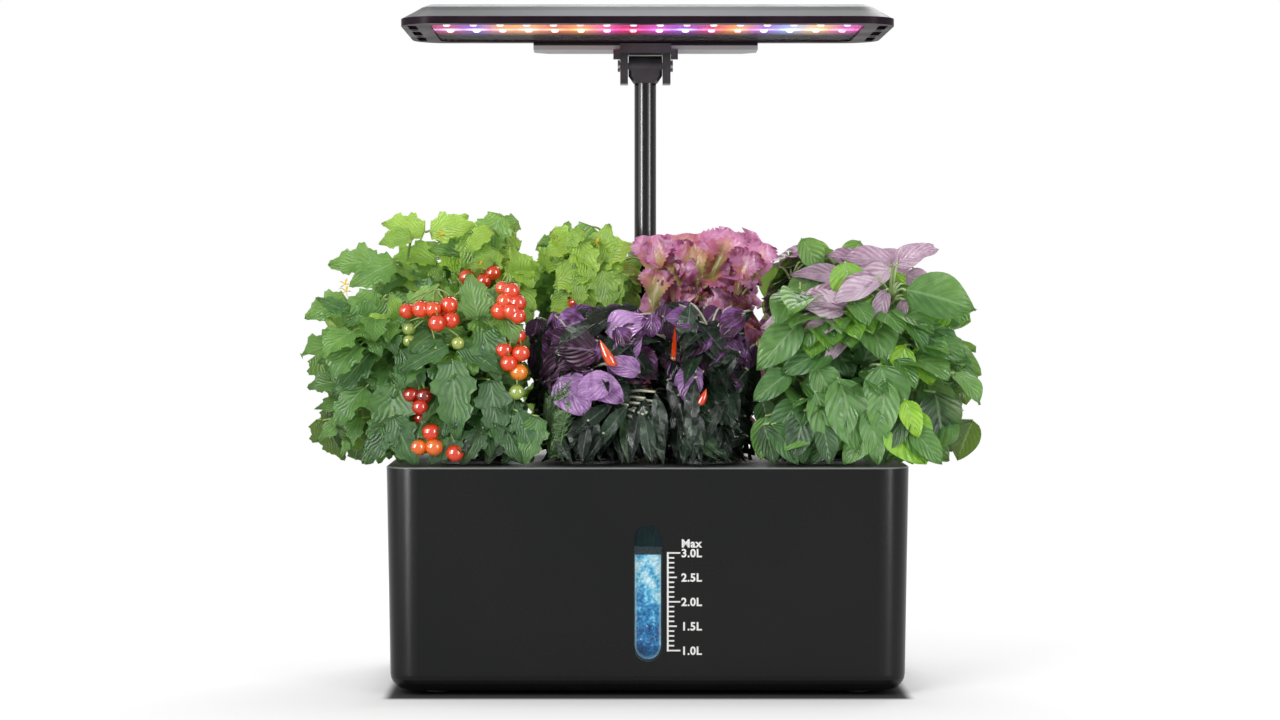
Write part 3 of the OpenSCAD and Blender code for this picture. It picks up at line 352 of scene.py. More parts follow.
bars = []
full_z, litre = 0.0787, 0.0266
print_bar(bars, 0.0103, 0.0113, full_z - 2 * litre - 0.0005, full_z + 0.0005)
for tick in range(21):
    z = full_z - tick * litre / 10
    reach = 0.0176 if tick % 10 == 0 else 0.0157 if tick % 5 == 0 else 0.0143
    print_bar(bars, 0.0112, reach, z - 0.00042, z + 0.00042)
for line, text in enumerate(("3.0L", "2.5L", "2.0L", "1.5L", "1.0L", "Max")):
    bpy.ops.object.text_add()
    figure = bpy.context.object
    figure.data.body = text
    figure.data.size = 0.0062
    figure.data.space_character = 1.06
    figure.data.offset = 0.00018
    figure.data.resolution_u = 3
    bpy.ops.object.convert(target="MESH")
    z = full_z + 0.0053 if text == "Max" else full_z - line * litre / 2
    figure.location = (0.0181, z - 0.0022, 0)
    bpy.ops.object.transform_apply(location=True, rotation=True, scale=True)
    bars.append(figure)
bpy.ops.object.select_all(action="DESELECT")
for bar in bars:
    bar.select_set(True)
bpy.context.view_layer.objects.active = bars[0]
bpy.ops.object.join()
litre_scale = bpy.context.object
litre_scale.name = "litre_scale"
for vertex in litre_scale.data.vertices:
    vertex.co = on_front(vertex.co.x, vertex.co.y)
litre_scale.data.materials.clear()
litre_scale.data.materials.append(ink.material)
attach(litre_scale, "tank")

# Deck and flap
# The planting deck is a grey plate that rests in the rim, with a collar round each pod.
# The fill flap closes the port for the watering can.
deck_plastic = moulded("deck_plastic", 0.35, 14, "707172", "7c7d7e", 0.42, 0.52, 2200)
dress(deck_plastic, "deck", "fill_flap")

# Control housing
# Two grey keys with moulded marks, three light pipes, the green board under them, and
# the round socket for the power plug.
key_plastic = Finish("key_plastic", roughness=0.35, coat=0.1)
key_plastic.set(base_color=key_plastic.grain(60, 2).colours((0.3, "c9cbcc"), (0.7, "d7d8d9")))
dress(key_plastic, "power_button", "mode_button")
board_resin = Finish("board_resin", roughness=0.35)
tracks = board_resin.cells(480.0, distance="MANHATTAN")
board_resin.set(base_color=tracks.colours((0.2, "1b5e34"), (0.5, "2f7d4b"), (0.75, "174e2b")))
board_resin.bump(tracks, 0.00003)
dress(board_resin, "circuit_board")
light_pipe = Finish("light_pipe", base_color=paint("dfe9ff"), roughness=0.2, emission_strength=0.6)
light_pipe.set(emission_color=light_pipe.grain(200, 1).colours((0.3, "9fc4ff"), (0.7, "cfe2ff")))
dress(light_pipe, "status_lights")

# Pump
# A small submersible pump: black moulded body and grille, white impeller on a steel
# shaft, a grey foam filter, and the riser that hangs it from the deck.
pump_plastic = moulded("pump_plastic", 0.4, 40, "191b1c", "232527", 0.36, 0.5, 1900)
dress(pump_plastic, "pump_body", "pump_cover", "pump_riser", "dc_inlet")
nylon = Finish("nylon", roughness=0.45)
nylon.set(base_color=nylon.grain(300, 3).colours((0.3, "dddcd4"), (0.7, "ebeae4")))
dress(nylon, "pump_impeller")
foam = Finish("foam", roughness=0.95, specular=0.1)
pores = foam.cells(1500.0)
# Painted shade: the foam is painted darker in its pores.
foam.set(base_color=pores.colours((0.1, "1c1d1f"), (0.6, "45484c")))
foam.bump(pores, 0.0003)
dress(foam, "pump_filter")
steel = Finish("steel", metallic=1.0)
lathe = steel.grain(300, 3, (30, 1, 1))
steel.set(base_color=lathe.colours((0.3, "8f9193"), (0.7, "b4b6b8")), roughness=lathe.ramp(0.3, 0.7, 0.22, 0.36))
dress(steel, "pump_shaft", "flap_pin", "hinge_pin", "lamp_screws")

# Mast
# Two steel tubes, stove-enamelled in gloss black. The upper one slides in the lower one
# through the clamp collar.
enamel = Finish("enamel", specular=0.28)
peel = enamel.grain(260, 2)
enamel.set(
    base_color=enamel.grain(30, 2).colours((0.3, "050505"), (0.7, "090909")),
    roughness=peel.ramp(0.3, 0.7, 0.16, 0.22),
)
enamel.bump(peel, 0.000008)
dress(enamel, "mast_lower", "mast_upper")

# Hinge
# The mast head's knuckle turns between the two ears of the bracket under the lamp, all
# in dark grey glass-filled plastic.
hinge_plastic = moulded("hinge_plastic", 0.34, 90, "2f3031", "3d3e40", 0.28, 0.36, 1600, 0.000015)
dress(hinge_plastic, "mast_head", "hinge_bracket")

# Lamp
# A shallow grey shell over a gloss black frame. The frame's window holds a clear cover,
# and the board above it carries two rows of coloured lights.
shell_paint = moulded("shell_paint", 0.12, 20, "636466", "6b6c6e", 0.34, 0.42, 2400, 0.000015)
# Painted shade: the shell is painted darker towards its ends, and nearly black along its top edge.
ends = abs(shell_paint.place.axis("X")).ramp(0.02, 0.12) * 0.75
top = shell_paint.place.axis("Z").ramp(0.3774, 0.3784)
shell_paint.set(base_color=shell_paint.colour.mixed(paint("2c2d2f"), ends).mixed(paint("18191a"), top))
dress(shell_paint, "lamp_housing")
driver_paint = moulded("driver_paint", 0.1, 24, "a2a3a5", "b0b1b3", 0.36, 0.46, 2400, 0.000015)
# Painted shadow: above 364.8 mm the box is painted nearly black, for the shade in the gap under the shell.
top = driver_paint.place.axis("Z").ramp(0.3648, 0.3656)
driver_paint.set(base_color=driver_paint.colour.mixed(paint("141415"), top))
dress(driver_paint, "driver_housing")
# The frame's near-black colour has a purple tint, a painted reflection of the coloured lights.
frame_gloss = moulded("frame_gloss", 0.02, 50, "20161d", "2a1e27", 0.3, 0.4)
dress(frame_gloss, "lamp_bezel")
cover_clear = Finish("cover_clear", base_color=paint("f2f4f6"), alpha=0.08, specular=0.4)
cover_clear.set(roughness=cover_clear.grain(300, 3).ramp(0.3, 0.7, 0.08, 0.2))
dress(cover_clear, "lamp_cover")

# Each row of 16 lights is painted onto the board as glow: a bright painted halo at each
# light inside a wider painted light spill of colour that fills the board.
led_pitch, row_start = 0.015, -0.12
rows = {
    -0.0315: "ffd7f0 e6f0ff fff0cf e3ecff ffd2dd fff2b8 ffb8d8 ff5a6e "
    "f0c0ff ffc8f0 ffd0f0 ffeec0 e8d4ff fff4e0 fff0c4 ff9ad6",
    0.0055: "c9c8ff ffe6d8 ff9a88 d8dcff ffb89a ffd690 ff5fb0 ff4f8e "
    "c77cff bfe4ff ff4fa0 ffb45a a88cff d4f4ff ffe8b8 ff86c8",
}
light_spill_colours = (
    "b0306a 6a50d0 e89050 f0a868 d05a48 f09040 e0389a c01c4c "
    "d058c0 8034c0 c81850 f09848 9048d0 98b0e8 f0b868 c04098"
)
board_glow = Finish("board_glow", base_color=paint("160d13"), roughness=0.6, specular=0.0, emission_strength=1.0)
column = (board_glow.place.axis("X") - row_start) / led_pitch
sideways = (column.maths("FRACT") - 0.5) * led_pitch


def along_row(codes):
    """A colour for each place along a row."""
    codes = codes.split()
    return (column / len(codes)).colours(*(((i + 0.5) / len(codes), code) for i, code in enumerate(codes)))


total = None
for row_y, codes in rows.items():
    back = board_glow.place.axis("Y") - row_y
    spread = (sideways * sideways * 0.5 + back * back).maths("SQRT")
    # Painted light: the halos and the spill glow on the board itself, which is no lamp.
    painted_light_spill = along_row(light_spill_colours).scaled(spread.ramp(0.042, 0.002) * 1.1)
    lit = along_row(codes).scaled(spread.ramp(0.0100, 0.0) * 1.8).plus(painted_light_spill)
    total = total.plus(lit) if total else lit
board_glow.set(emission_color=total)
dress(board_glow, "led_board")
for name, code in (("leds_white", "fff3dc"), ("leds_red", "ff8a9c"), ("leds_blue", "b8b4ff")):
    led = Finish(name + "_glow", base_color=paint(code), roughness=0.3, emission_strength=1.15)
    led.set(emission_color=led.grain(400, 1).colours((0.3, code), (0.7, "ffffff")))
    dress(led, name)

# Baskets and sponges
# Each pod is a black slotted basket with a tapered growing sponge in it. Foam pieces of
# the same size, with pores cut into them, take the place of the sponges.
basket_plastic = moulded("basket_plastic", 0.4, 60, "161718", "202122", 0.4, 0.5, 2000)
peat = Finish("peat", roughness=0.95, specular=0.1)
pores = peat.cells(900.0)
crumbs = peat.grain(500, 5)
# Painted shade: the peat is painted darker in its pores, and its colour also varies with the crumbs.
peat.set(base_color=(pores * 0.5 + crumbs * 0.6).colours((0.25, "1c130c"), (0.5, "4a3726"), (0.75, "6e5842")))
peat.bump(pores + crumbs, 0.0005)


def tube(rings, sides):
    """The faces of a closed tube: quads between rings of points, and a flat face at each end."""
    faces = []
    for i in range(rings - 1):
        for s in range(sides):
            a, b = i * sides + s, i * sides + (s + 1) % sides
            faces.append([a, b, b + sides, a + sides])
    return faces + [list(range(sides))[::-1], [(rings - 1) * sides + s for s in range(sides)]]


foam_sides = 44
for pod in range(1, 9):
    dress(basket_plastic, f"basket_{pod}")
    solid = nodes[f"sponge_{pod}"]
    plug = np.array([solid.matrix_world @ vertex.co for vertex in solid.data.vertices])
    low, high = plug.min(0), plug.max(0)
    middle = (low + high) / 2
    reach = np.hypot(*(plug[:, :2] - middle[:2]).T)
    slim = reach[plug[:, 2] < low[2] + 0.0001].max()
    wide = reach[plug[:, 2] > high[2] - 0.0001].max()
    sheet = [(slim * t, low[2]) for t in np.linspace(0.02, 1, 8)]
    sheet += [(slim + (wide - slim) * t, low[2] + (high[2] - low[2]) * t) for t in np.linspace(0, 1, 26)[1:-1]]
    sheet += [(wide * t, high[2]) for t in np.linspace(1, 0.02, 14)]
    points = []
    for r, z in sheet:
        for turn in range(foam_sides):
            a = math.tau * turn / foam_sides
            place = Vector((middle[0] + r * math.cos(a), middle[1] + r * math.sin(a), z))
            pore = max(0.45 - noise.voronoi(place * 520)[0][0], 0) / 0.45
            points.append(place.lerp(Vector(middle), 0.07 * pore))
    mesh = bpy.data.meshes.new(f"foam_{pod}")
    mesh.from_pydata(points, [], tube(len(sheet), foam_sides))
    mesh.materials.append(peat.material)
    foam_plug = bpy.data.objects.new(f"foam_{pod}", mesh)
    scene.collection.objects.link(foam_plug)
    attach(foam_plug, f"pod_{pod}")
    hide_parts(f"sponge_{pod}")

# Plants
# Each plant grows from its sponge on stems that fork to every leaf. It stays inside its
# own upright space, so that its pod lifts out past the others.
# Leaf k is turned by k golden angles. The steps spread leaves evenly along a line, and
# over a surface. Between two plants lies a gap.
golden = math.radians(137.5)
line_step, across_step, up_step = 0.618, 0.7549, 0.5698
half_gap = 0.0007
pod_pitch, row_y, root_z = 0.066, 0.031, 0.1195
front_low, front_high = (-0.083, 0.1265), -half_gap
rear_low = (half_gap, 0.1305)
outer_x = 0.192
walls = {1: (-0.066, -0.014, -0.066, 0.012), 2: (0.0, -0.016, -0.002, -0.009), 3: (0.064, 0.015, 0.0715, 0.007)}


def wall(line, y):
    """The x of the slanted boundary between two columns of pods, at each depth y."""
    if line not in walls:
        return np.full_like(y, (line / 2 - 1) * outer_x)
    front, front_swing, rear, rear_swing = walls[line]
    before = front + front_swing * (y / 0.0415 + 1)
    return np.where(y < 0, before, rear + rear_swing * np.maximum(1 - y / 0.025, -1))


def table(text):
    """Rows of numbers from text, with a bar or a new line between rows."""
    rows = text.replace("|", "\n").splitlines()
    return [[float(word) for word in row.split()] for row in rows if row.strip()]


# The pixel straight ahead of the camera, and the lens's length in pixels.
eye_px, eye_py = 616.7, 282
lens_px = 1280 * lens.lens / lens.sensor_width


def at_pixel(px, py, y):
    """The point at depth y that the photograph shows at a pixel."""
    away = (y - eye[1]) / lens_px
    return Vector((eye[0] + (px - eye_px) * away, y, eye[2] - (py - eye_py) * away))


def spots(text):
    """Points from rows that start with a pixel and a depth in millimetres."""
    return [at_pixel(px, py, depth / 1000) for px, py, depth, *more in table(text)]


class Leaf:
    """A leaf blade's flat pattern: a small grid that is drawn to its outline."""

    def __init__(self, outline, along, across):
        bpy.ops.mesh.primitive_grid_add(x_subdivisions=along, y_subdivisions=across, size=2)
        grid = bpy.context.object
        flat = np.array([vertex.co for vertex in grid.data.vertices])
        self.u = (flat[:, 0] + 1) / 2
        self.v = flat[:, 1]
        tooth = np.round(self.u * along) % 2
        self.w = np.array([outline(*place) for place in zip(self.u, np.abs(self.v), tooth)]) * np.sign(self.v)
        self.faces = [list(face.vertices) for face in grid.data.polygons]
        bpy.data.objects.remove(grid, do_unlink=True)

    def bent(self, length, width, droop, fold, wave, phase, waves):
        """Points of the blade along +X, folded at its midrib, drooping, with a wavy edge."""
        bend = droop if abs(droop) > 1e-3 else 1e-3
        x = length / bend * np.sin(bend * self.u)
        z = -length / bend * (1 - np.cos(bend * self.u))
        side = self.w * width
        ripple = np.sin(waves * self.u + phase + 2 * np.sign(self.v)) * self.v**2
        ripple = ripple + np.sin(waves * 0.6 * self.v + phase) * self.u**6
        lift = np.abs(side) * math.sin(fold) + wave * ripple
        x = x + lift * np.sin(bend * self.u)
        z = z + lift * np.cos(bend * self.u)
        return np.stack([x, side * math.cos(fold), z], axis=1)


class Plant:
    """Collects the stems, leaves and fruit of one pod, then makes them one piece."""

    def __init__(self, pod, low, high, seed):
        self.pod = pod
        self.column = (pod - 1) % 4
        self.root = Vector(((self.column - 1.5) * pod_pitch, -row_y if pod <= 4 else row_y, root_z))
        self.low = np.array((-1, *low))
        self.high = np.array((1, *high))
        self.sides = [float(wall(self.column + i, np.array(self.root.y))) for i in (0, 1)]
        self.dice = random.Random(seed)
        self.points, self.faces, self.sheet, self.tones, self.kinds = [], [], [], [], []
        self.count, self.inset = 0, 0.0
        self.joints = []

    def add(self, points, faces, sheet, tone, kind):
        points = np.clip(points, self.low - [0, 0, 0.03], self.high)
        y = points[:, 1]
        points[:, 0] = np.clip(points[:, 0], wall(self.column, y) + half_gap, wall(self.column + 1, y) - half_gap)
        self.points.append(points)
        self.faces += [[i + self.count for i in face] for face in faces]
        self.sheet.append(sheet)
        self.tones.append(np.full(len(points), tone))
        self.kinds += [kind] * len(faces)
        self.count += len(points)

    def kept(self, points):
        """The shift that brings points back into the plant's own space, less its inset. The
        roof counts the inset more, so that the top isn't cut flat."""
        high = self.high - [0, 0, 1.8 * self.inset]
        shift = np.maximum(self.low - points.min(0), 0) - np.maximum(points.max(0) - high, 0)
        y = points[:, 1] + shift[1]
        left = (wall(self.column, y) + half_gap + self.inset - points[:, 0]).max()
        right = (points[:, 0] + half_gap + self.inset - wall(self.column + 1, y)).max()
        return shift + [max(left, 0) - max(right, 0), 0, 0]

    def roof(self, x):
        """The plant's uneven top, as a share of its height, at a place x."""
        return 0.86 + 0.09 * math.sin(95 * x + 2.1 * self.pod) + 0.05 * math.sin(260 * x + self.pod)

    def slim(self, side, crown, t):
        """How far the plant reaches to a side at height share t: less at its crown, and uneven."""
        narrow = 1 - (1 - crown[side]) * max(t - 0.4, 0) / 0.6
        return narrow * (0.90 + 0.10 * math.sin(11 * t + 2 * self.pod + side))

    def rise(self, x, t, foot=0.004, top=0.004):
        """The height at share t of the plant's own height at x."""
        return self.low[2] + foot + (self.high[2] - self.low[2] - top) * t * self.roof(x)

    def outward(self, k, shell, crown, t):
        """A direction and a reach from the stem for the k-th leaf at height share t."""
        a = k * golden + self.pod
        out = Vector((math.cos(a), math.sin(a), 0))
        if out.y * self.root.y < -0.01 and k % 2:
            out.y = -out.y
        side = 1 if out.x > 0 else 0
        reach = abs(self.sides[side] - self.root.x) * self.slim(side, crown, t)
        depth = self.high[1] - self.root.y if out.y > 0 else self.root.y - self.low[1]
        room = min(reach / max(abs(out.x), 0.05), depth / max(abs(out.y), 0.05))
        return out, room * (shell + (1 - shell) * self.dice.random()) * (1 if k % 3 else 0.5)

    def stem(self, path, thick, thin, kind=1, tone=0.5, sides=5):
        """A tapering stem along a path of points."""
        path = [Vector(p) for p in path]
        rings = []
        for i, here in enumerate(path):
            ahead = (path[min(i + 1, len(path) - 1)] - path[max(i - 1, 0)]).normalized()
            right = ahead.cross(Vector((0.1, 1, 0.05))).normalized()
            up = right.cross(ahead)
            r = thick + (thin - thick) * i / (len(path) - 1)
            turns = (2 * math.pi * s / sides for s in range(sides))
            rings += [here + r * (right * math.cos(a) + up * math.sin(a)) for a in turns]
        sheet = [(i / len(path), s / sides) for i in range(len(path)) for s in range(sides)]
        self.add(np.array(rings), tube(len(path), sides), np.array(sheet), tone, kind)

    def bow(self, start, end, lift):
        """Five points from start to end, bowed upwards."""
        start, end = Vector(start), Vector(end)
        return [start.lerp(end, t) + Vector((0, 0, lift * 4 * t * (1 - t))) for t in (0, 0.25, 0.5, 0.75, 1)]

    def trunks(self, tops, thick, thin, sides=6, tone=0.5):
        """Main stems from the root to each top. Leaf stalks start from them."""
        for top in tops:
            foot = self.root + Vector((0, 0, 0.014))
            path = [self.root + Vector((0, 0, -0.012)), foot]
            for t in (0.2, 0.4, 0.6, 0.8, 1):
                sway = Vector((self.dice.uniform(-1, 1), self.dice.uniform(-1, 1), 0)) * 0.0025
                path.append(foot.lerp(Vector(top), t) + sway * math.sin(math.pi * t))
            self.stem(path, thick, thin, sides=sides, tone=tone)
            self.joints += [path[i].lerp(path[i + 1], t) for i in range(1, 6) for t in (0.1, 0.4, 0.7, 1)]

    def fork(self, base):
        """The point on a main stem that a stalk to base starts from: below it and near."""
        base = Vector(base)
        return min(self.joints, key=lambda p: (p - base).length + 2.5 * max(p.z - base.z + 0.006, 0))

    def blade(self, leaf, base, ahead, up, length, width, droop, fold, wave, tone, kind=0, waves=9):
        """One blade that starts at base, moved into the plant's space; returns its start."""
        ahead = Vector(ahead).normalized()
        right = Vector(up).cross(ahead).normalized()
        turn = np.array([ahead, right, ahead.cross(right)])
        flat = leaf.bent(length, width, droop, fold, wave, self.dice.uniform(0, 6), waves)
        points = flat @ turn + np.array(base)
        self.inset = 0.010 * self.dice.random() ** 2
        shift = self.kept(points)
        self.inset = 0.0
        self.add(points + shift, leaf.faces, np.stack([leaf.u, leaf.v], axis=1), tone, kind)
        return Vector(base) + Vector(shift)

    def stalked(self, thick, thin, lift, *blade):
        """One blade and the stalk that it stands on."""
        base = self.blade(*blade)
        self.stem(self.bow(self.fork(base), base, lift), thick, thin)

    def bare(self):
        """An empty plant of the same pod and space, which collects the fruit."""
        return Plant(self.pod, self.low[1:], self.high[1:], 0)

    def made(self, name, *finishes):
        """Turns all that was collected into one smooth mesh on the pod's body."""
        mesh = bpy.data.meshes.new(name)
        mesh.from_pydata(np.concatenate(self.points).tolist(), [], self.faces)
        piece = bpy.data.objects.new(name, mesh)
        scene.collection.objects.link(piece)
        corners = np.empty(len(mesh.loops), dtype=np.int32)
        mesh.loops.foreach_get("vertex_index", corners)
        layer = mesh.uv_layers.new(name="sheet")
        layer.data.foreach_set("uv", np.concatenate(self.sheet)[corners].astype(np.float32).ravel())
        tones = mesh.attributes.new("tone", "FLOAT", "POINT")
        tones.data.foreach_set("value", np.concatenate(self.tones).astype(np.float32))
        mesh.polygons.foreach_set("material_index", self.kinds)
        mesh.polygons.foreach_set("use_smooth", [True] * len(mesh.polygons))
        for finish in finishes:
            mesh.materials.append(finish.material)
        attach(piece, f"pod_{self.pod}")
        return piece


def leaf_finish(name, stops, vein, glow, rough, ribs, slant, through, quilt=0.0004, spots=0.45):
    """Leaf skin: a tone for each leaf, pale midrib and side veins, and light that shines through."""
    finish = Finish(name, specular=0.35)
    u = finish.sheet.axis("X")
    v = abs(finish.sheet.axis("Y"))
    mottle = finish.grain(220, 4)
    rib = v.ramp(0.10, 0.02) * u.ramp(1.0, 0.8)
    lanes = ((u - v * slant) * ribs).maths("FRACT") - 0.5
    side_veins = abs(lanes).ramp(0.09, 0.01) * v.ramp(1.0, 0.6) * 0.4
    mark = rib.most(side_veins)
    colour = (finish.tone() + (mottle - 0.5) * spots).colours(*stops).mixed(paint(vein), mark * 0.32)
    finish.set(base_color=colour, roughness=mottle.ramp(0.3, 0.7, rough, rough + 0.12))
    finish.bump(abs(lanes).ramp(0.0, 0.5) * 0.7 - mark * 0.5 + mottle * 0.3, quilt)
    finish.blend(through, colour.node("BsdfTranslucent", None, {"Color": paint(glow)}))
    return finish


def stem_finish(name, low, high):
    finish = Finish(name, roughness=0.5, specular=0.35)
    finish.set(base_color=(finish.tone() + (finish.grain(400, 3) - 0.5) * 0.6).colours((0.2, low), (0.8, high)))
    return finish


def heroes(plant, leaf, rows, share=0.6, kind=0, lean=0.25, droop=0.35, fold=0.25, wave=0.03):
    """Leaves that the photograph shows clearly. A row says the pixel and the depth of the foot,
    the length, the heading in degrees and the tone, and may end with a width and a kind."""
    for px, py, depth, length, heading, tone, *rest in table(rows):
        width, skin = rest + [share, kind][len(rest):]
        a = math.radians(heading)
        ahead = Vector((math.cos(a), -lean, math.sin(a)))
        plant.stalked(0.0010, 0.0007, 0.003, leaf, at_pixel(px, py, depth / 1000), ahead, Vector((0, -1, 0.45)),
                      length * 0.001, length * width * 0.001, droop, fold, wave * length * 0.001, tone, int(skin))


def filled(plant, leaf, count, sizes, share, tones, kinds=(0,), shell=0.75, droops=(0.3, 1.1), crown=(1, 1),
           thick=0.0008):
    """Fills the plant's space with leaves that face up and out, most near its outside."""
    dice = plant.dice
    for k in range(count):
        t = (k * line_step) % 1
        out, far = plant.outward(k, shell, crown, t)
        size = dice.uniform(*sizes)
        base = Vector((plant.root.x, plant.root.y, 0)) + out * max(far - size * 0.7, 0.002)
        base.z = plant.rise(base.x, t)
        ahead = out + Vector((0, -0.25, dice.uniform(-0.8, 0.35)))
        up = Vector((0, -0.6, 1)) + out * 0.4
        # Painted light and shade: tones go from the first at the foot to the second at the top, and every third
        # leaf, which sits further in, is darker.
        tone = tones[0] + (tones[1] - tones[0]) * t + dice.uniform(-0.2, 0.2) - (0 if k % 3 else 0.25)
        plant.stalked(thick * 1.3, thick, 0.003, leaf, base, ahead, up, size,
                      size * share * dice.uniform(0.85, 1.15), dice.uniform(*droops), dice.uniform(0.1, 0.45),
                      size * 0.035, tone, dice.choice(kinds))


def massed(plant, leaf, count, sizes, share, tones, kinds=(0,), crown=(1, 1), back=False):
    """Spreads leaves evenly over the plant's front, or its back, so that nothing shows through."""
    dice = plant.dice
    face = 1 if back else -1
    for k in range(count):
        t = (k * up_step) % 1
        size = dice.uniform(*sizes)
        near = dice.random()
        y = plant.root.y + face * (0.044 * near - 0.008)
        ends = []
        for side in (0, 1):
            at = float(wall(plant.column + side, np.array(y)))
            ends.append(plant.root.x + (at - plant.root.x) * plant.slim(side, crown, t))
        x = ends[0] + (ends[1] - ends[0]) * ((k * across_step) % 1)
        a = dice.uniform(0, math.tau)
        ahead = Vector((math.cos(a), face * 0.25, math.sin(a) * 0.8 - 0.35)).normalized()
        base = Vector((x, y, plant.rise(x, t))) - ahead * size * 0.5
        # Painted light and shade: tones go from the first at the foot to the second at the top, and deeper leaves
        # are darker.
        tone = tones[0] + (tones[1] - tones[0]) * t + dice.uniform(-0.15, 0.2) - 0.35 * (1 - near)
        plant.stalked(0.0008, 0.0006, 0.003, leaf, base, ahead, Vector((0, face * 0.9, 0.6)), size,
                      size * share * dice.uniform(0.85, 1.15), dice.uniform(0.1, 0.7), dice.uniform(0.1, 0.45),
                      size * 0.035, tone, dice.choice(kinds))


def hem(plant, leaf, count, sizes, share, tones):
    """Leaves that hang in front of the pods, down to the rim of the tank."""
    dice = plant.dice
    rim_x, feet_z = 0.141, (0.137, 0.150)
    left, right = (float(wall(plant.column + i, np.array(-0.075))) for i in (0, 1))
    for k in range(count):
        x = left + (right - left) * (k + 0.5) / count
        x = min(max(x, -rim_x), rim_x) + dice.uniform(-0.003, 0.003)
        base = Vector((x, dice.uniform(-0.080, -0.066), feet_z[k % 2] + dice.uniform(-0.003, 0.006)))
        ahead = Vector((dice.uniform(-0.9, 0.9), -0.2, -0.9))
        size = dice.uniform(*sizes)
        plant.stalked(0.0010, 0.0007, 0.005, leaf, base, ahead, Vector((0, -1, 0.5)), size, size * share, 0.3,
                      dice.uniform(0.1, 0.4), size * 0.03, dice.uniform(*tones))


# Tomato plants
# Cherry tomatoes on arching trusses, red over green, in front of toothed compound leaves
# that droop at the ends. The top leaves are painted brighter as painted light, with small
# yellow flowers.


def toothed(u, v, tooth):
    lobes = 0.84 + 0.16 * math.cos(6 * math.pi * u)
    body = math.sin(math.pi * u**0.6) ** 0.7 * lobes
    return v * body * (1 + 0.15 * tooth * (v > 0.9)) * 0.5


tomato_leaf = Leaf(toothed, 18, 4)
greens = ((0.0, "152c19"), (0.35, "3c6a36"), (0.65, "6a9e44"), (1.0, "b2dc52"))
tomato_skin = leaf_finish("tomato_leaf_skin", greens, "b4d49a", "a4cc62", 0.42, 6.0, 0.6, 0.3)
tomato_stem = stem_finish("tomato_stem_skin", "5c7a34", "9ab85a")
petal_skin = Finish("petal_skin", roughness=0.6, specular=0.2)
petal_skin.set(base_color=petal_skin.grain(300, 2).colours((0.3, "e8c51e"), (0.7, "f7e35a")))


def compound(plant, base, ahead, size, tone):
    """A tomato leaf: leaflets in pairs along a drooping stalk, with one at its end."""
    dice = plant.dice
    ahead = Vector(ahead).normalized()
    side = ahead.cross(Vector((0, -0.4, 1))).normalized()
    up = side.cross(ahead)
    tip = Vector(base) + ahead * size * 0.6 - Vector((0, 0, size * 0.12))
    end = tip + ahead * size * 0.4 - Vector((0, 0, size * 0.2))
    corners = [Vector(base) - side * size * 0.4, Vector(base) + side * size * 0.4, end, tip + side * size * 0.35,
               tip - side * size * 0.35]
    shift = Vector(plant.kept(np.array(corners)))
    base, tip = Vector(base) + shift, tip + shift
    plant.stem(plant.bow(plant.fork(base), base, size * 0.06), 0.0011, 0.0008)
    path = plant.bow(base, tip, size * 0.06)
    plant.stem(path, 0.0008, 0.0004)
    facing = (up + Vector((0, -0.5, 0.1))).normalized()
    for k in range(3):
        for s in (-1, 1):
            out = side * s + ahead * dice.uniform(0.3, 0.8) - Vector((0, 0, dice.uniform(0.1, 0.45)))
            length = size * dice.uniform(0.36, 0.48) * (0.75 if k == 2 else 1)
            plant.blade(tomato_leaf, path[k + 1], out, facing, length, length * dice.uniform(0.75, 0.95),
                        dice.uniform(0.3, 1.0), dice.uniform(0.1, 0.5), length * 0.05,
                        tone + dice.uniform(-0.1, 0.1))
    plant.blade(tomato_leaf, tip, ahead - Vector((0, 0, 0.3)), facing, size * 0.5, size * 0.42,
                dice.uniform(0.4, 1.1), dice.uniform(0.1, 0.4), size * 0.03, tone + 0.05)


def leafy(plant, count, sizes, tones, crown=(1, 1)):
    """Fills a tomato plant's space with compound leaves."""
    dice = plant.dice
    for k in range(count):
        t = (k * line_step) % 1
        out, far = plant.outward(k, 0.6, crown, t)
        size = dice.uniform(*sizes)
        base = Vector((plant.root.x, plant.root.y, 0)) + out * max(far - size * 0.8, 0.002)
        base.z = plant.rise(base.x, t, 0.008, 0.006)
        ahead = out + Vector((0, -0.2, dice.uniform(-0.5, 0.3)))
        # Painted light and shade: tones go from the first at the foot to the second at the top, and every third
        # leaf, which sits further in, is darker.
        tone = tones[0] + (tones[1] - tones[0]) * t + dice.uniform(-0.15, 0.15) - (0 if k % 3 else 0.25)
        compound(plant, base, ahead, size, tone)


def sepal(cap, out, length):
    """One pointed sepal or petal that starts at a cap."""
    side = out.cross(Vector((0.2, 0.5, 1))).normalized() * length * 0.15
    lift = Vector((0, 0, 0.0005))
    mid = cap + out * length * 0.5 + lift
    tip = cap + out * length - Vector((0, 0, length * 0.22)) + lift
    points = [cap - side * 0.6 + lift, cap + side * 0.6 + lift, mid + side, tip, mid - side]
    return np.array(points), [[0, 1, 2, 4], [4, 2, 3]], np.zeros((5, 2))


def flower(plant, place):
    """A small yellow tomato flower with five pointed petals."""
    for s in range(5):
        a = s * 2 * math.pi / 5
        out = Vector((math.cos(a), -0.3, math.sin(a)))
        plant.add(*sepal(place, out, 0.0045), 0.5, 2)


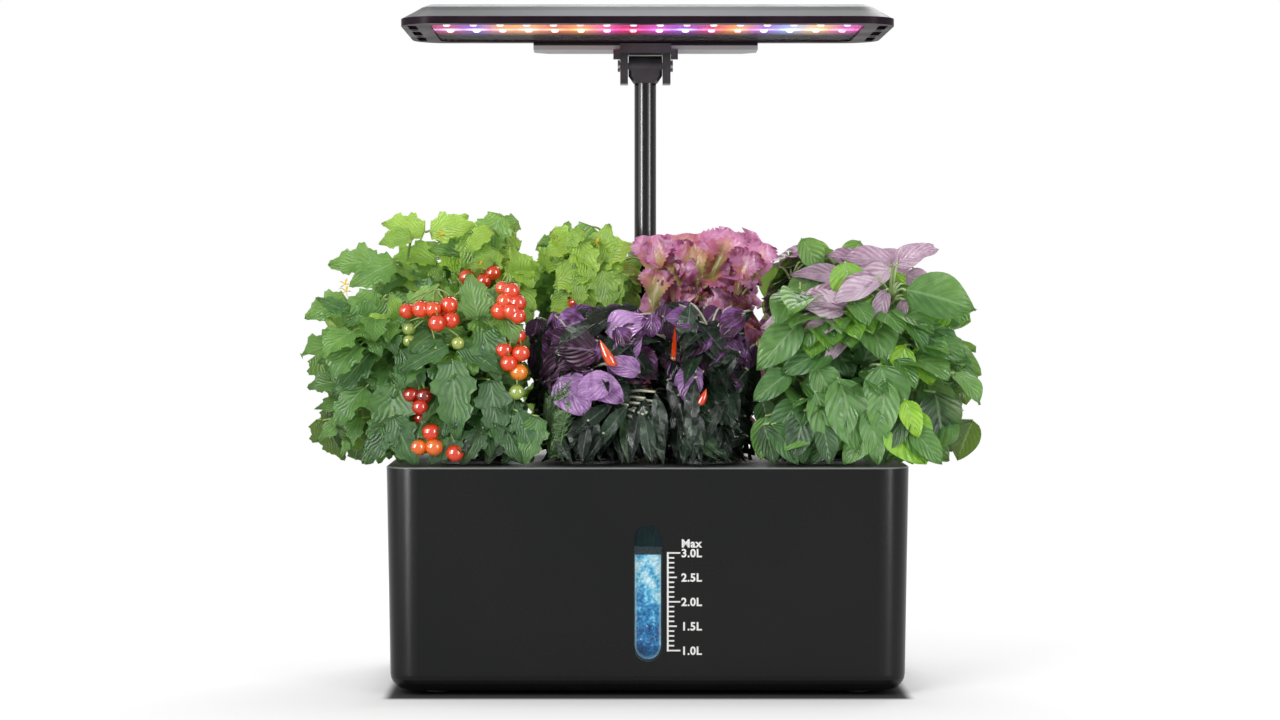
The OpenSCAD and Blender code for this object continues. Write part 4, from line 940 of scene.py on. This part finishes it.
front_tomato = Plant(1, front_low, (front_high, 0.232), 3)
tops = ((-0.150, -0.045, 0.208), (-0.112, -0.052, 0.212), (-0.080, -0.045, 0.205), (-0.165, -0.050, 0.160))
front_tomato.trunks(tops, 0.0021, 0.0010)
leafy(front_tomato, 60, (0.040, 0.056), (0.10, 0.62))
massed(front_tomato, tomato_leaf, 90, (0.014, 0.030), 0.75, (0.1, 0.7), crown=(0.85, 1))
rear_tomato = Plant(5, rear_low, (0.077, 0.268), 7)
rear_tomato.trunks(((-0.140, 0.030, 0.230), (-0.115, 0.030, 0.258), (-0.080, 0.030, 0.240)), 0.0021, 0.0010)
leafy(rear_tomato, 60, (0.038, 0.054), (0.15, 1.0), (0.45, 1))
massed(rear_tomato, tomato_leaf, 80, (0.014, 0.028), 0.75, (0.2, 1.1), crown=(0.45, 1))
massed(rear_tomato, tomato_leaf, 90, (0.022, 0.030), 0.75, (-0.1, 0.9), crown=(0.45, 1), back=True)
middle_tomato = Plant(6, rear_low, (0.050, 0.262), 11)
middle_tomato.trunks(((-0.048, 0.026, 0.244), (-0.018, 0.026, 0.246), (-0.033, 0.018, 0.230)), 0.0019, 0.0010)
leafy(middle_tomato, 50, (0.034, 0.048), (0.15, 1.0))
massed(middle_tomato, tomato_leaf, 120, (0.014, 0.028), 0.75, (0.2, 1.1))
massed(middle_tomato, tomato_leaf, 60, (0.022, 0.030), 0.75, (-0.1, 0.9), back=True)
heroes(middle_tomato, tomato_leaf, """
    618 262 18 28 25 1.0 | 622 290 14 28 20 0.8 | 622 314 12 26 10 0.6 | 612 250 24 26 60 1.0
    596 262 20 28 75 0.9 | 640 280 16 26 95 0.9 | 640 305 14 26 100 0.7
""", 0.8)
heroes(rear_tomato, tomato_leaf, """
    425 232 30 26 165 1.0 | 430 232 24 27 12 1.0 | 436 222 34 24 40 0.95 | 412 236 20 20 190 0.85
    395 262 12 30 205 0.6 | 380 262 20 30 180 0.55 | 560 250 30 22 150 0.95 | 455 245 30 22 10 0.95
""", 0.75)
heroes(front_tomato, tomato_leaf, """
    452 360 -76 44 -86 0.42 0.58 | 448 345 -74 30 205 0.38 0.5 | 458 345 -74 30 -28 0.34 0.5
    345 300 -50 26 200 0.5 0.7 | 352 302 -46 24 235 0.55 0.75 | 372 290 -50 28 250 0.55 0.75
    330 315 -52 22 150 0.42 0.5 | 388 298 -56 26 270 0.5 0.7 | 350 410 -60 28 215 0.5 0.45
    362 418 -64 24 240 0.58 0.42 | 376 420 -66 22 262 0.62 0.4 | 345 400 -56 24 188 0.45 0.45
    395 385 -70 36 262 0.45 0.85 | 350 335 -60 26 30 0.95 0.5 | 342 350 -50 30 258 0.2 0.5
    372 352 -66 32 225 0.35 0.6 | 400 350 -70 28 300 0.35 0.6 | 482 330 -72 30 -70 0.4 0.7
    478 300 -66 26 100 0.45 0.8 | 490 380 -74 34 -80 0.3 0.62 | 515 400 -72 30 -100 0.32 0.55
    405 430 -70 26 200 0.4 0.7 | 500 420 -74 28 -60 0.3 0.6
""")
hem(front_tomato, tomato_leaf, 22, (0.020, 0.030), 0.65, (0.0, 0.5))
bare_stalk = spots("321 313 -52 | 330 322 -52 | 341 334 -50 | 352 346 -46")
front_tomato.stem(bare_stalk + [front_tomato.fork(bare_stalk[-1])], 0.0020, 0.0016, tone=0.95)
for plant, rows in (
    (front_tomato, "345 285 -50 | 346 292 -52"),
    (rear_tomato, "441 236 10 | 480 266 4"),
    (middle_tomato, "597 243 10"),
):
    for place in spots(rows):
        flower(plant, place)

tomato_flesh = Finish("tomato_flesh", roughness=0.14, specular=0.5, coat=0.35, coat_roughness=0.08)
ripe = tomato_flesh.tone() + (tomato_flesh.grain(160, 3) - 0.5) * 0.12
reds = ((0.0, "7da048"), (0.25, "b9bd58"), (0.4, "e88a22"), (0.6, "e0441a"), (0.8, "cb2c14"), (1.0, "5e0c10"))
tomato_flesh.set(base_color=ripe.colours(*reds))


def ball(centre, r):
    """A tomato's skin as a ball of rings, a little flat, with a dimple at its stalk."""
    points, faces = [], []
    rings, sides = 8, 14
    for i in range(1, rings):
        b = math.pi * i / rings
        for s in range(sides):
            a = 2 * math.pi * s / sides
            out = Vector((math.sin(b) * math.cos(a), math.sin(b) * math.sin(a), math.cos(b) * 0.93))
            points.append(centre + out * r)
    points += [centre + Vector((0, 0, r * 0.80)), centre - Vector((0, 0, r * 0.93))]
    for i in range(rings - 2):
        for s in range(sides):
            a, b = i * sides + s, i * sides + (s + 1) % sides
            faces.append([a, a + sides, b + sides, b])
    top, last = len(points) - 2, (rings - 2) * sides
    faces += [[top, s, (s + 1) % sides] for s in range(sides)]
    faces += [[len(points) - 1, last + (s + 1) % sides, last + s] for s in range(sides)]
    return np.array(points), faces


def truss(plant, r, rows):
    """A fruit truss: one arching stalk, with a tomato and its green star at each pixel and
    depth. Each row ends with the tomato's ripeness."""
    dice = plant.dice
    places = spots(rows)
    centre = sum(places, Vector()) / len(places)
    high = max(p.z for p in places) + r * 1.6
    hub = Vector((centre.x, centre.y + r * 0.8, min(high, plant.high[2] - 0.002)))
    plant.stem(plant.bow(plant.fork(hub), hub, 0.006), 0.0010, 0.0008)
    for place, (*_, tone) in zip(places, table(rows)):
        size = r * dice.uniform(0.88, 1.06)
        cap = place + Vector((0, 0, size * 0.80))
        knee = cap + Vector((0, 0, size * 0.25))
        plant.stem(plant.bow(hub, knee, 0.001), 0.0006, 0.0005)
        plant.stem([knee, cap - Vector((0, 0, 0.0004))], 0.0005, 0.0005)
        points, faces = ball(place, size)
        plant.fruit.add(points, faces, np.zeros((len(points), 2)), tone, 0)
        for s in range(5):
            a = s * 2 * math.pi / 5 + tone * 9
            plant.add(*sepal(cap, Vector((math.cos(a), math.sin(a), 0.12)), size * 0.75), 0.45, 1)


tomatoes = {"tomato_front": front_tomato, "tomato_rear": rear_tomato, "tomato_middle": middle_tomato}
for plant in tomatoes.values():
    plant.fruit = plant.bare()
truss(front_tomato, 0.0052, """
    407 311 -66 0.62 | 421 309 -72 0.6 | 433 309 -74 0.58 | 449 305 -70 0.6 | 437 323 -77 0.66
    451 320 -72 0.64 | 444 313 -66 0.7
""")
truss(front_tomato, 0.0052, """
    504 350 -72 0.66 | 517 336 -72 0.62 | 521 353 -76 0.6 | 509 363 -76 0.62 | 519 372 -74 0.42
""")
truss(front_tomato, 0.0048, """
    411 395 -72 0.88 | 424 396 -74 0.95 | 420 407 -77 0.82 | 412 405 -68 0.98 | 421 418 -72 0.9
""")
truss(front_tomato, 0.0055, """
    431 432 -76 0.7 | 418 447 -76 0.52 | 434 447 -77 0.5 | 455 453 -77 0.68 | 465 452 -70 0.74
""")
truss(front_tomato, 0.0038, "409 329 -66 0.06 | 409 341 -68 0.12 | 435 348 -72 0.1 | 458 343 -76 0.14")
truss(front_tomato, 0.0046, "517 392 -77 0.08")
truss(rear_tomato, 0.005, "493 273 6 0.6 | 484 281 6 0.66 | 467 277 10 0.6")
truss(front_tomato, 0.005, """
    503 288 -68 0.56 | 511 291 -72 0.62 | 505 301 -73 0.58 | 517 303 -73 0.66 | 511 311 -76 0.6
    518 316 -76 0.64 | 500 311 -72 0.6
""")
truss(middle_tomato, 0.0046, """
    575 303 8 0.62 | 581 305 12 0.66 | 556 322 10 0.64 | 566 318 14 0.6 | 553 334 14 0.6 | 560 331 18 0.62
""")
for name, plant in tomatoes.items():
    vines, fruit = plant.made(name + "_vine", tomato_skin, tomato_stem, petal_skin), plant.fruit
    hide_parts(name)
    fruit.made(name + "_fruit", tomato_flesh)

# Basil plants
# Broad smooth leaves on pale square stems, the upper ones flushed pink
# by the lamp and the outer ones bright where light comes through.


def oval(u, v, tooth):
    return v * math.sin(math.pi * u**0.75) ** 0.8 * 0.5


basil_leaf = Leaf(oval, 12, 6)
greens = ((0.0, "16301a"), (0.3, "3f6f38"), (0.6, "6a9c4c"), (0.85, "8cc832"), (1.0, "aee03c"))
basil_skin = leaf_finish("basil_skin", greens, "b2d29a", "a4cc58", 0.36, 6.0, 0.42, 0.26)
pinks = ((0.0, "4c6244"), (0.4, "8f788b"), (0.75, "c2a6bc"), (1.0, "dcc6d6"))
basil_flush = leaf_finish("basil_flush", pinks, "ecdce8", "c894b4", 0.36, 6.0, 0.42, 0.2, spots=0.9)
basil_stem = stem_finish("basil_stem_skin", "7c9c52", "c2d89a")
basil_front = Plant(4, front_low, (front_high, 0.240), 21)
tops = ((0.116, -0.055, 0.205), (0.135, -0.050, 0.215), (0.085, -0.045, 0.205), (0.160, -0.045, 0.190))
basil_front.trunks(tops, 0.0024, 0.0013, 4, 0.7)
filled(basil_front, basil_leaf, 130, (0.020, 0.040), 0.74, (0.10, 0.62), crown=(1, 0.85))
massed(basil_front, basil_leaf, 90, (0.014, 0.032), 0.78, (0.1, 0.7), crown=(1, 0.85))
basil_rear = Plant(8, rear_low, (0.052, 0.252), 25)
tops = ((0.110, 0.026, 0.235), (0.140, 0.028, 0.245), (0.085, 0.026, 0.225), (0.160, 0.024, 0.220))
basil_rear.trunks(tops, 0.0022, 0.0012, 4, 0.6)
filled(basil_rear, basil_leaf, 100, (0.020, 0.040), 0.74, (0.15, 0.6), (0, 0, 0, 2), crown=(1, 0.55))
massed(basil_rear, basil_leaf, 80, (0.014, 0.030), 0.75, (0.15, 0.7), (0, 0, 2), crown=(1, 0.55))
massed(basil_rear, basil_leaf, 70, (0.022, 0.032), 0.7, (-0.1, 0.6), crown=(1, 0.55), back=True)
heroes(basil_rear, basil_leaf, """
    912 262 14 34 168 0.75 0.5 2 | 893 265 8 26 30 0.8 0.55 2 | 905 275 6 20 -20 0.5 0.7 2
    880 262 4 34 215 0.8 0.6 2 | 842 275 8 34 175 0.7 0.35 2 | 855 300 4 26 190 0.95 0.6 2
    800 262 20 22 20 0.35 0.5 | 820 262 24 24 40 0.3 0.45 2 | 895 272 2 14 -80 0.85 0.8
""")
basil_front.high[2] = 0.252
heroes(basil_front, basil_leaf, """
    890 268 -52 34 212 0.95 | 893 262 -36 30 168 0.7 | 862 286 -48 26 178 0.85 | 898 262 -40 24 25 0.85
    846 306 -62 26 160 0.8 | 842 320 -66 26 196 0.75 | 850 332 -68 22 226 0.6 | 905 300 -62 16 250 0.7
    870 256 -30 26 160 0.5 | 886 290 -66 22 250 0.6 | 874 276 -60 24 200 0.75 | 800 306 -56 26 30 0.7
    822 318 -64 22 200 0.7 | 880 282 -64 30 196 0.95
""", 0.52, 2, 0.35, 0.75, 0.6, 0.06)
heroes(basil_front, basil_leaf, """
    903 296 -40 40 -18 0.42 0.95 | 820 318 -60 34 185 0.9 0.55 2 | 800 322 -66 36 225 0.45 0.6
    845 312 -64 28 165 0.9 0.5 2 | 860 335 -64 28 60 0.6 0.6 | 835 345 -66 34 205 0.35 0.55
    838 378 -74 44 -72 0.5 0.62 | 905 345 -66 34 250 0.92 0.6 | 918 345 -60 24 -70 0.88 0.7
    880 365 -74 32 -75 0.45 0.85 | 935 340 -50 32 -35 0.4 0.55 | 950 352 -52 24 -60 0.35 0.6
    935 392 -60 30 -80 0.1 0.85 | 905 400 -78 22 -70 0.95 0.6 | 895 425 -82 32 -55 0.85 0.95
    870 412 -78 32 -82 0.5 0.5 | 818 430 -76 28 200 0.6 0.42 | 800 400 -72 28 230 0.3 0.6
    850 400 -76 26 250 0.45 0.6 | 790 372 -68 26 215 0.4 0.6 | 775 350 -62 22 300 0.3 0.6
    880 318 -60 30 200 0.55 0.6 | 905 330 -50 30 10 0.3 0.6 | 906 290 -71 40 -12 0.32 0.72
    912 330 -70 34 -24 0.3 0.6 | 885 380 -78 34 -95 0.55 0.55 | 815 392 -76 36 -70 0.5 0.55
    815 365 -70 26 -60 0.5 0.7
""", wave=0.04)
hem(basil_front, basil_leaf, 22, (0.020, 0.030), 0.6, (0.05, 0.6))
for name, plant in (("basil_front", basil_front), ("basil_rear", basil_rear)):
    piece = plant.made(name + "_bush", basil_skin, basil_stem, basil_flush)
    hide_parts(name)

# Chilli and herb plants
# A dark ornamental pepper with narrow leaves, pale stems and upright orange fruit, and a
# feathery herb beside it under a few violet leaves.


def lance(u, v, tooth):
    return v * math.sin(math.pi * u**0.8) ** 1.1 * 0.5


chilli_leaf = Leaf(lance, 8, 2)
darks = ((0.0, "0b120f"), (0.5, "16261c"), (0.8, "2b4630"), (1.0, "6b8a5c"))
chilli_skin = leaf_finish("chilli_skin", darks, "9aa894", "4a6a3a", 0.2, 9.0, 0.8, 0.1)
violets = ((0.0, "22101f"), (0.35, "4d2440"), (0.6, "8a5a9c"), (1.0, "d2a4de"))
violet_skin = leaf_finish("violet_skin", violets, "e6cdf0", "b070c4", 0.28, 5.0, 0.7, 0.18, 0.0007, 1.3)
chilli_stem = stem_finish("chilli_stem_skin", "6f7a58", "d8dcc4")
feather_skin = stem_finish("feather_skin", "2f5a2c", "86a86e")
pepper_flesh = Finish("pepper_flesh", roughness=0.14, coat=0.4, coat_roughness=0.08)
pepper_flesh.set(base_color=pepper_flesh.grain(120, 2).colours((0.3, "d0300e"), (0.6, "ea5a1c"), (0.8, "f2902e")))


def pepper(plant, foot, length, r, lean):
    """A small chilli on its stalk, widest near its cap and pointed at its end."""
    sides, rings = 10, 9
    turns = [math.tau * s / sides for s in range(sides)]
    points = []
    for i in range(rings):
        t = i / (rings - 1)
        grow = r * max(math.sin(math.pi * (0.18 + 0.82 * t)) ** 0.7, 0.02) * (1 - 0.55 * t)
        mid = foot + Vector(lean) * length * t
        points += [mid + Vector((math.cos(a), math.sin(a), 0)) * grow for a in turns]
    plant.fruit.add(np.array(points), tube(rings, sides), np.zeros((len(points), 2)), 0.5, 0)
    plant.stem(plant.bow(plant.fork(foot), foot + Vector(lean) * 0.0006, 0.003), 0.0008, 0.0009, tone=0.4)
    for s in range(5):
        a = s * 2 * math.pi / 5
        plant.add(*sepal(foot, Vector((math.cos(a) * 0.8, math.sin(a) * 0.8, 0.6)), r * 1.2), 0.3, 1)


def frond(plant, base, ahead, length, tone):
    """A feathery frond: a thin stalk with finer and finer side needles."""
    dice = plant.dice
    ahead = Vector(ahead).normalized()
    side = ahead.cross(Vector((0, -1, 0.3))).normalized()
    tip = Vector(base) + ahead * length
    shift = Vector(plant.kept(np.array([tip, tip + side * length * 0.3, tip - side * length * 0.3])))
    base, drop = Vector(base), length * 0.25
    path = [base + (ahead * length + shift) * t - Vector((0, 0, drop * t * t)) for t in np.linspace(0, 1, 9)]
    plant.stem([plant.fork(base), path[0]], 0.0006, 0.0006, 3, tone, 3)
    plant.stem(path, 0.0006, 0.0003, 3, tone, 3)
    for i in range(1, 9):
        for s in (-1, 1):
            for j in range(3):
                start = path[i - 1].lerp(path[i], j / 3)
                out = side * s + ahead * dice.uniform(0.5, 1.2) + Vector((0, dice.uniform(-0.5, 0.5), 0))
                end = start + out.normalized() * length * 0.30 * (1.05 - i / 9)
                plant.stem([start, end], 0.00035, 0.00015, 3, tone + dice.uniform(-0.2, 0.2), 3)


chilli = Plant(3, front_low, (front_high, 0.216), 31)
herb = Plant(2, front_low, (front_high, 0.216), 35)
for plant, lean in ((chilli, 0.3), (herb, 0.9)):
    tops = []
    for s in range(7):
        a = s * 2 * math.pi / 7 + lean
        tops.append(plant.root + Vector((math.cos(a) * 0.022, math.sin(a) * 0.028, 0.058 + 0.010 * (s % 3))))
    plant.trunks(tops, 0.0015, 0.0008, 5, 0.8)
filled(chilli, chilli_leaf, 190, (0.028, 0.046), 0.24, (0.2, 0.75), (0,), 0.5, (0.3, 1.3), thick=0.0006)
filled(herb, chilli_leaf, 150, (0.026, 0.042), 0.26, (0.2, 0.75), (0,), 0.5, (0.3, 1.3), thick=0.0006)
for plant in (chilli, herb):
    massed(plant, chilli_leaf, 120, (0.026, 0.040), 0.36, (0.3, 0.6))
    plant.low[2] += 0.040
    massed(plant, basil_leaf, 60, (0.013, 0.021), 0.85, (0.3, 0.5), (2,))
    plant.low[2] -= 0.040
heroes(herb, basil_leaf, """
    535 378 -76 26 -50 0.85 0.9 | 590 380 -74 22 -30 0.85 0.8 | 612 380 -76 22 200 0.9 0.8
    640 372 -72 20 160 0.8 0.7 | 606 332 -60 24 20 0.95 0.8 | 620 340 -62 22 60 0.75 0.7
    560 328 -50 20 100 0.85 0.7 | 572 345 -60 24 220 0.25 0.8 | 600 352 -64 28 170 0.2 0.8
    580 370 -68 24 190 0.28 0.8 | 560 350 -58 22 150 0.3 0.8 | 630 350 -58 24 -40 0.3 0.8
    620 312 -40 24 75 0.35 0.8 | 640 330 -46 22 110 0.4 0.7 | 575 318 -44 20 60 0.3 0.7
""", kind=2, wave=0.06)
heroes(herb, chilli_leaf, """
    628 405 -74 38 230 0.75 0.24 | 600 400 -74 38 215 0.6 0.22 | 590 410 -74 36 240 0.3 0.2
    640 420 -74 34 260 0.4 0.24 | 655 392 -77 34 -80 0.6 0.26 | 660 408 -79 34 -95 0.35 0.24
    652 425 -78 30 -70 0.55 0.26 | 645 400 -75 36 -88 0.75 0.24
""", wave=0.06)
heroes(chilli, basil_leaf, """
    705 338 -50 24 230 0.6 0.8 | 722 335 -48 24 -50 0.45 0.8 | 735 345 -50 22 -80 0.25 0.8
    685 372 -70 18 200 0.8 0.8 | 662 372 -72 18 250 0.75 0.8 | 690 340 -46 20 120 0.3 0.7
    656 330 -40 20 80 0.3 0.7 | 715 310 -30 20 90 0.3 0.7
""", kind=2, wave=0.06)
heroes(chilli, chilli_leaf, """
    700 405 -72 40 -50 0.85 0.24 | 690 420 -74 36 -110 0.3 0.22 | 720 420 -74 34 -40 0.9 0.26
    735 395 -70 36 -30 0.8 0.26 | 660 400 -74 40 235 0.5 0.22 | 670 395 -74 38 -80 0.2 0.2
    686 378 -77 34 -96 0.5 0.26 | 684 396 -79 34 -100 0.65 0.24 | 682 414 -79 32 -86 0.35 0.26
    690 428 -79 28 -75 0.8 0.26
""", wave=0.06)
for plant in (chilli, herb):
    plant.fruit = plant.bare()
pepper(chilli, at_pixel(668, 360, -0.076), 0.019, 0.0042, (0.0, -0.1, 1.0))
pepper(chilli, at_pixel(700, 405, -0.078), 0.010, 0.0030, (0.35, 0.0, 0.9))
pepper(herb, at_pixel(613, 366, -0.078), 0.016, 0.0040, (-0.45, 0.0, 0.9))
dice = herb.dice
for k in range(40):
    foot = at_pixel(dice.uniform(512, 566), dice.uniform(425, 458), dice.uniform(-0.081, -0.064))
    reach = Vector((dice.uniform(-0.7, 0.7), -0.1, 1.0))
    frond(herb, foot, reach, dice.uniform(0.022, 0.036), dice.uniform(0.2, 0.9))
hem(herb, chilli_leaf, 14, (0.020, 0.030), 0.3, (0.3, 0.9))
hem(chilli, chilli_leaf, 12, (0.020, 0.030), 0.3, (0.3, 0.9))
for name, plant, slot in (("chilli_plant", chilli, "leaf_chilli"), ("herb_plant", herb, "leaf_herb")):
    bush, fruit = plant.made(name + "_bush", chilli_skin, chilli_stem, violet_skin, feather_skin), plant.fruit
    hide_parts(name)
    fruit.made(name + "_fruit", pepper_flesh)

# Lettuce
# A red-leaf lettuce: upright leaves with pale ribs that spread into ruffled, wine-red and
# pink edges.


def frilled(u, v, tooth):
    flare = 0.055 + 0.40 * min(u / 0.78, 1) ** 2.2 * (1 - max(u - 0.82, 0) * 2.0)
    return v * flare * (1 + 0.20 * tooth * (v > 0.9))


lettuce_leaf = Leaf(frilled, 30, 12)
lettuce_skin = Finish("lettuce_skin", specular=0.4)
u = lettuce_skin.sheet.axis("X")
v = abs(lettuce_skin.sheet.axis("Y"))
mottle = lettuce_skin.grain(300, 4)
rim_share = u * 0.85 + v * u * 0.3 + (mottle - 0.5) * 0.8 + lettuce_skin.tone() * 0.45 - 0.5
blush = rim_share.colours((0.0, "a4b458"), (0.2, "b8a45a"), (0.36, "c98c62"), (0.48, "c2668c"), (0.6, "e0a0cc"),
                          (0.74, "cc86b8"), (0.86, "8a3a62"), (1.0, "3c1426"))
lanes = ((u - v * 0.4) * 9.0).maths("FRACT") - 0.5
side_ribs = abs(lanes).ramp(0.12, 0.02) * v.ramp(1.0, 0.6) * 0.4
rib = (v.ramp(0.26, 0.04) * u.ramp(1.0, 0.4)).most(side_ribs)
lettuce_skin.set(base_color=blush.mixed(paint("ecd9a8"), rib * 0.75), roughness=mottle.ramp(0.3, 0.7, 0.3, 0.45))
lettuce_skin.bump(mottle + rib * 0.5, 0.0006)
lettuce_skin.blend(0.3, blush.node("BsdfTranslucent", None, {"Color": paint("f0a0c8")}))

lettuce = Plant(7, rear_low, (0.050, 0.2605), 41)
lettuce.trunks((lettuce.root + Vector((0, 0, 0.060)), lettuce.root + Vector((0.012, -0.008, 0.050)),
                lettuce.root + Vector((-0.012, -0.008, 0.052))), 0.0030, 0.0020, 6, 0.8)
dice = lettuce.dice
for k in range(54):
    a = k * golden
    out = Vector((math.cos(a), math.sin(a) * 0.55 - 0.15, 0))
    base = lettuce.root + out * 0.008 + Vector((0, 0, 0.016 + 0.070 * (k / 54)))
    top = dice.choice((0.185, 0.198, 0.208, 0.216, 0.224, 0.231, 0.238, 0.246))
    ahead = out * dice.uniform(0.2, 0.7) * (1.35 - 5 * (top - 0.19)) + Vector((0, 0, 1))
    length = max((top - base.z) * ahead.length * 1.05, 0.030)
    base = lettuce.blade(lettuce_leaf, base, ahead, Vector((-out.x, -out.y, 0.3)), length, min(length * 0.6, 0.036),
                         dice.uniform(-0.5, 0.5), dice.uniform(0.1, 0.7), min(length, 0.07) * 0.085,
                         dice.uniform(0, 1), 0, 34)
    lettuce.stem(lettuce.bow(lettuce.fork(base), base, 0.001), 0.0014, 0.0012, tone=0.8)
massed(lettuce, lettuce_leaf, 50, (0.026, 0.040), 0.7, (0.3, 0.5))
massed(lettuce, lettuce_leaf, 30, (0.030, 0.044), 0.7, (0.3, 0.5), back=True)
heroes(lettuce, lettuce_leaf, """
    712 268 12 30 68 0.55 | 738 275 14 26 60 0.95 | 700 280 8 30 100 0.3 | 664 275 12 28 108 0.45
    690 320 4 50 92 0.0 | 735 300 6 30 75 0.9 | 755 285 10 26 70 0.6 | 652 294 6 34 94 0.5
    656 262 10 24 100 0.7 | 652 318 4 28 84 0.2
""", 0.75, wave=0.09)
lettuce_head = lettuce.made("lettuce_head", lettuce_skin, basil_stem)
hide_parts("lettuce_plant")

bpy.ops.object.select_all(action="DESELECT")
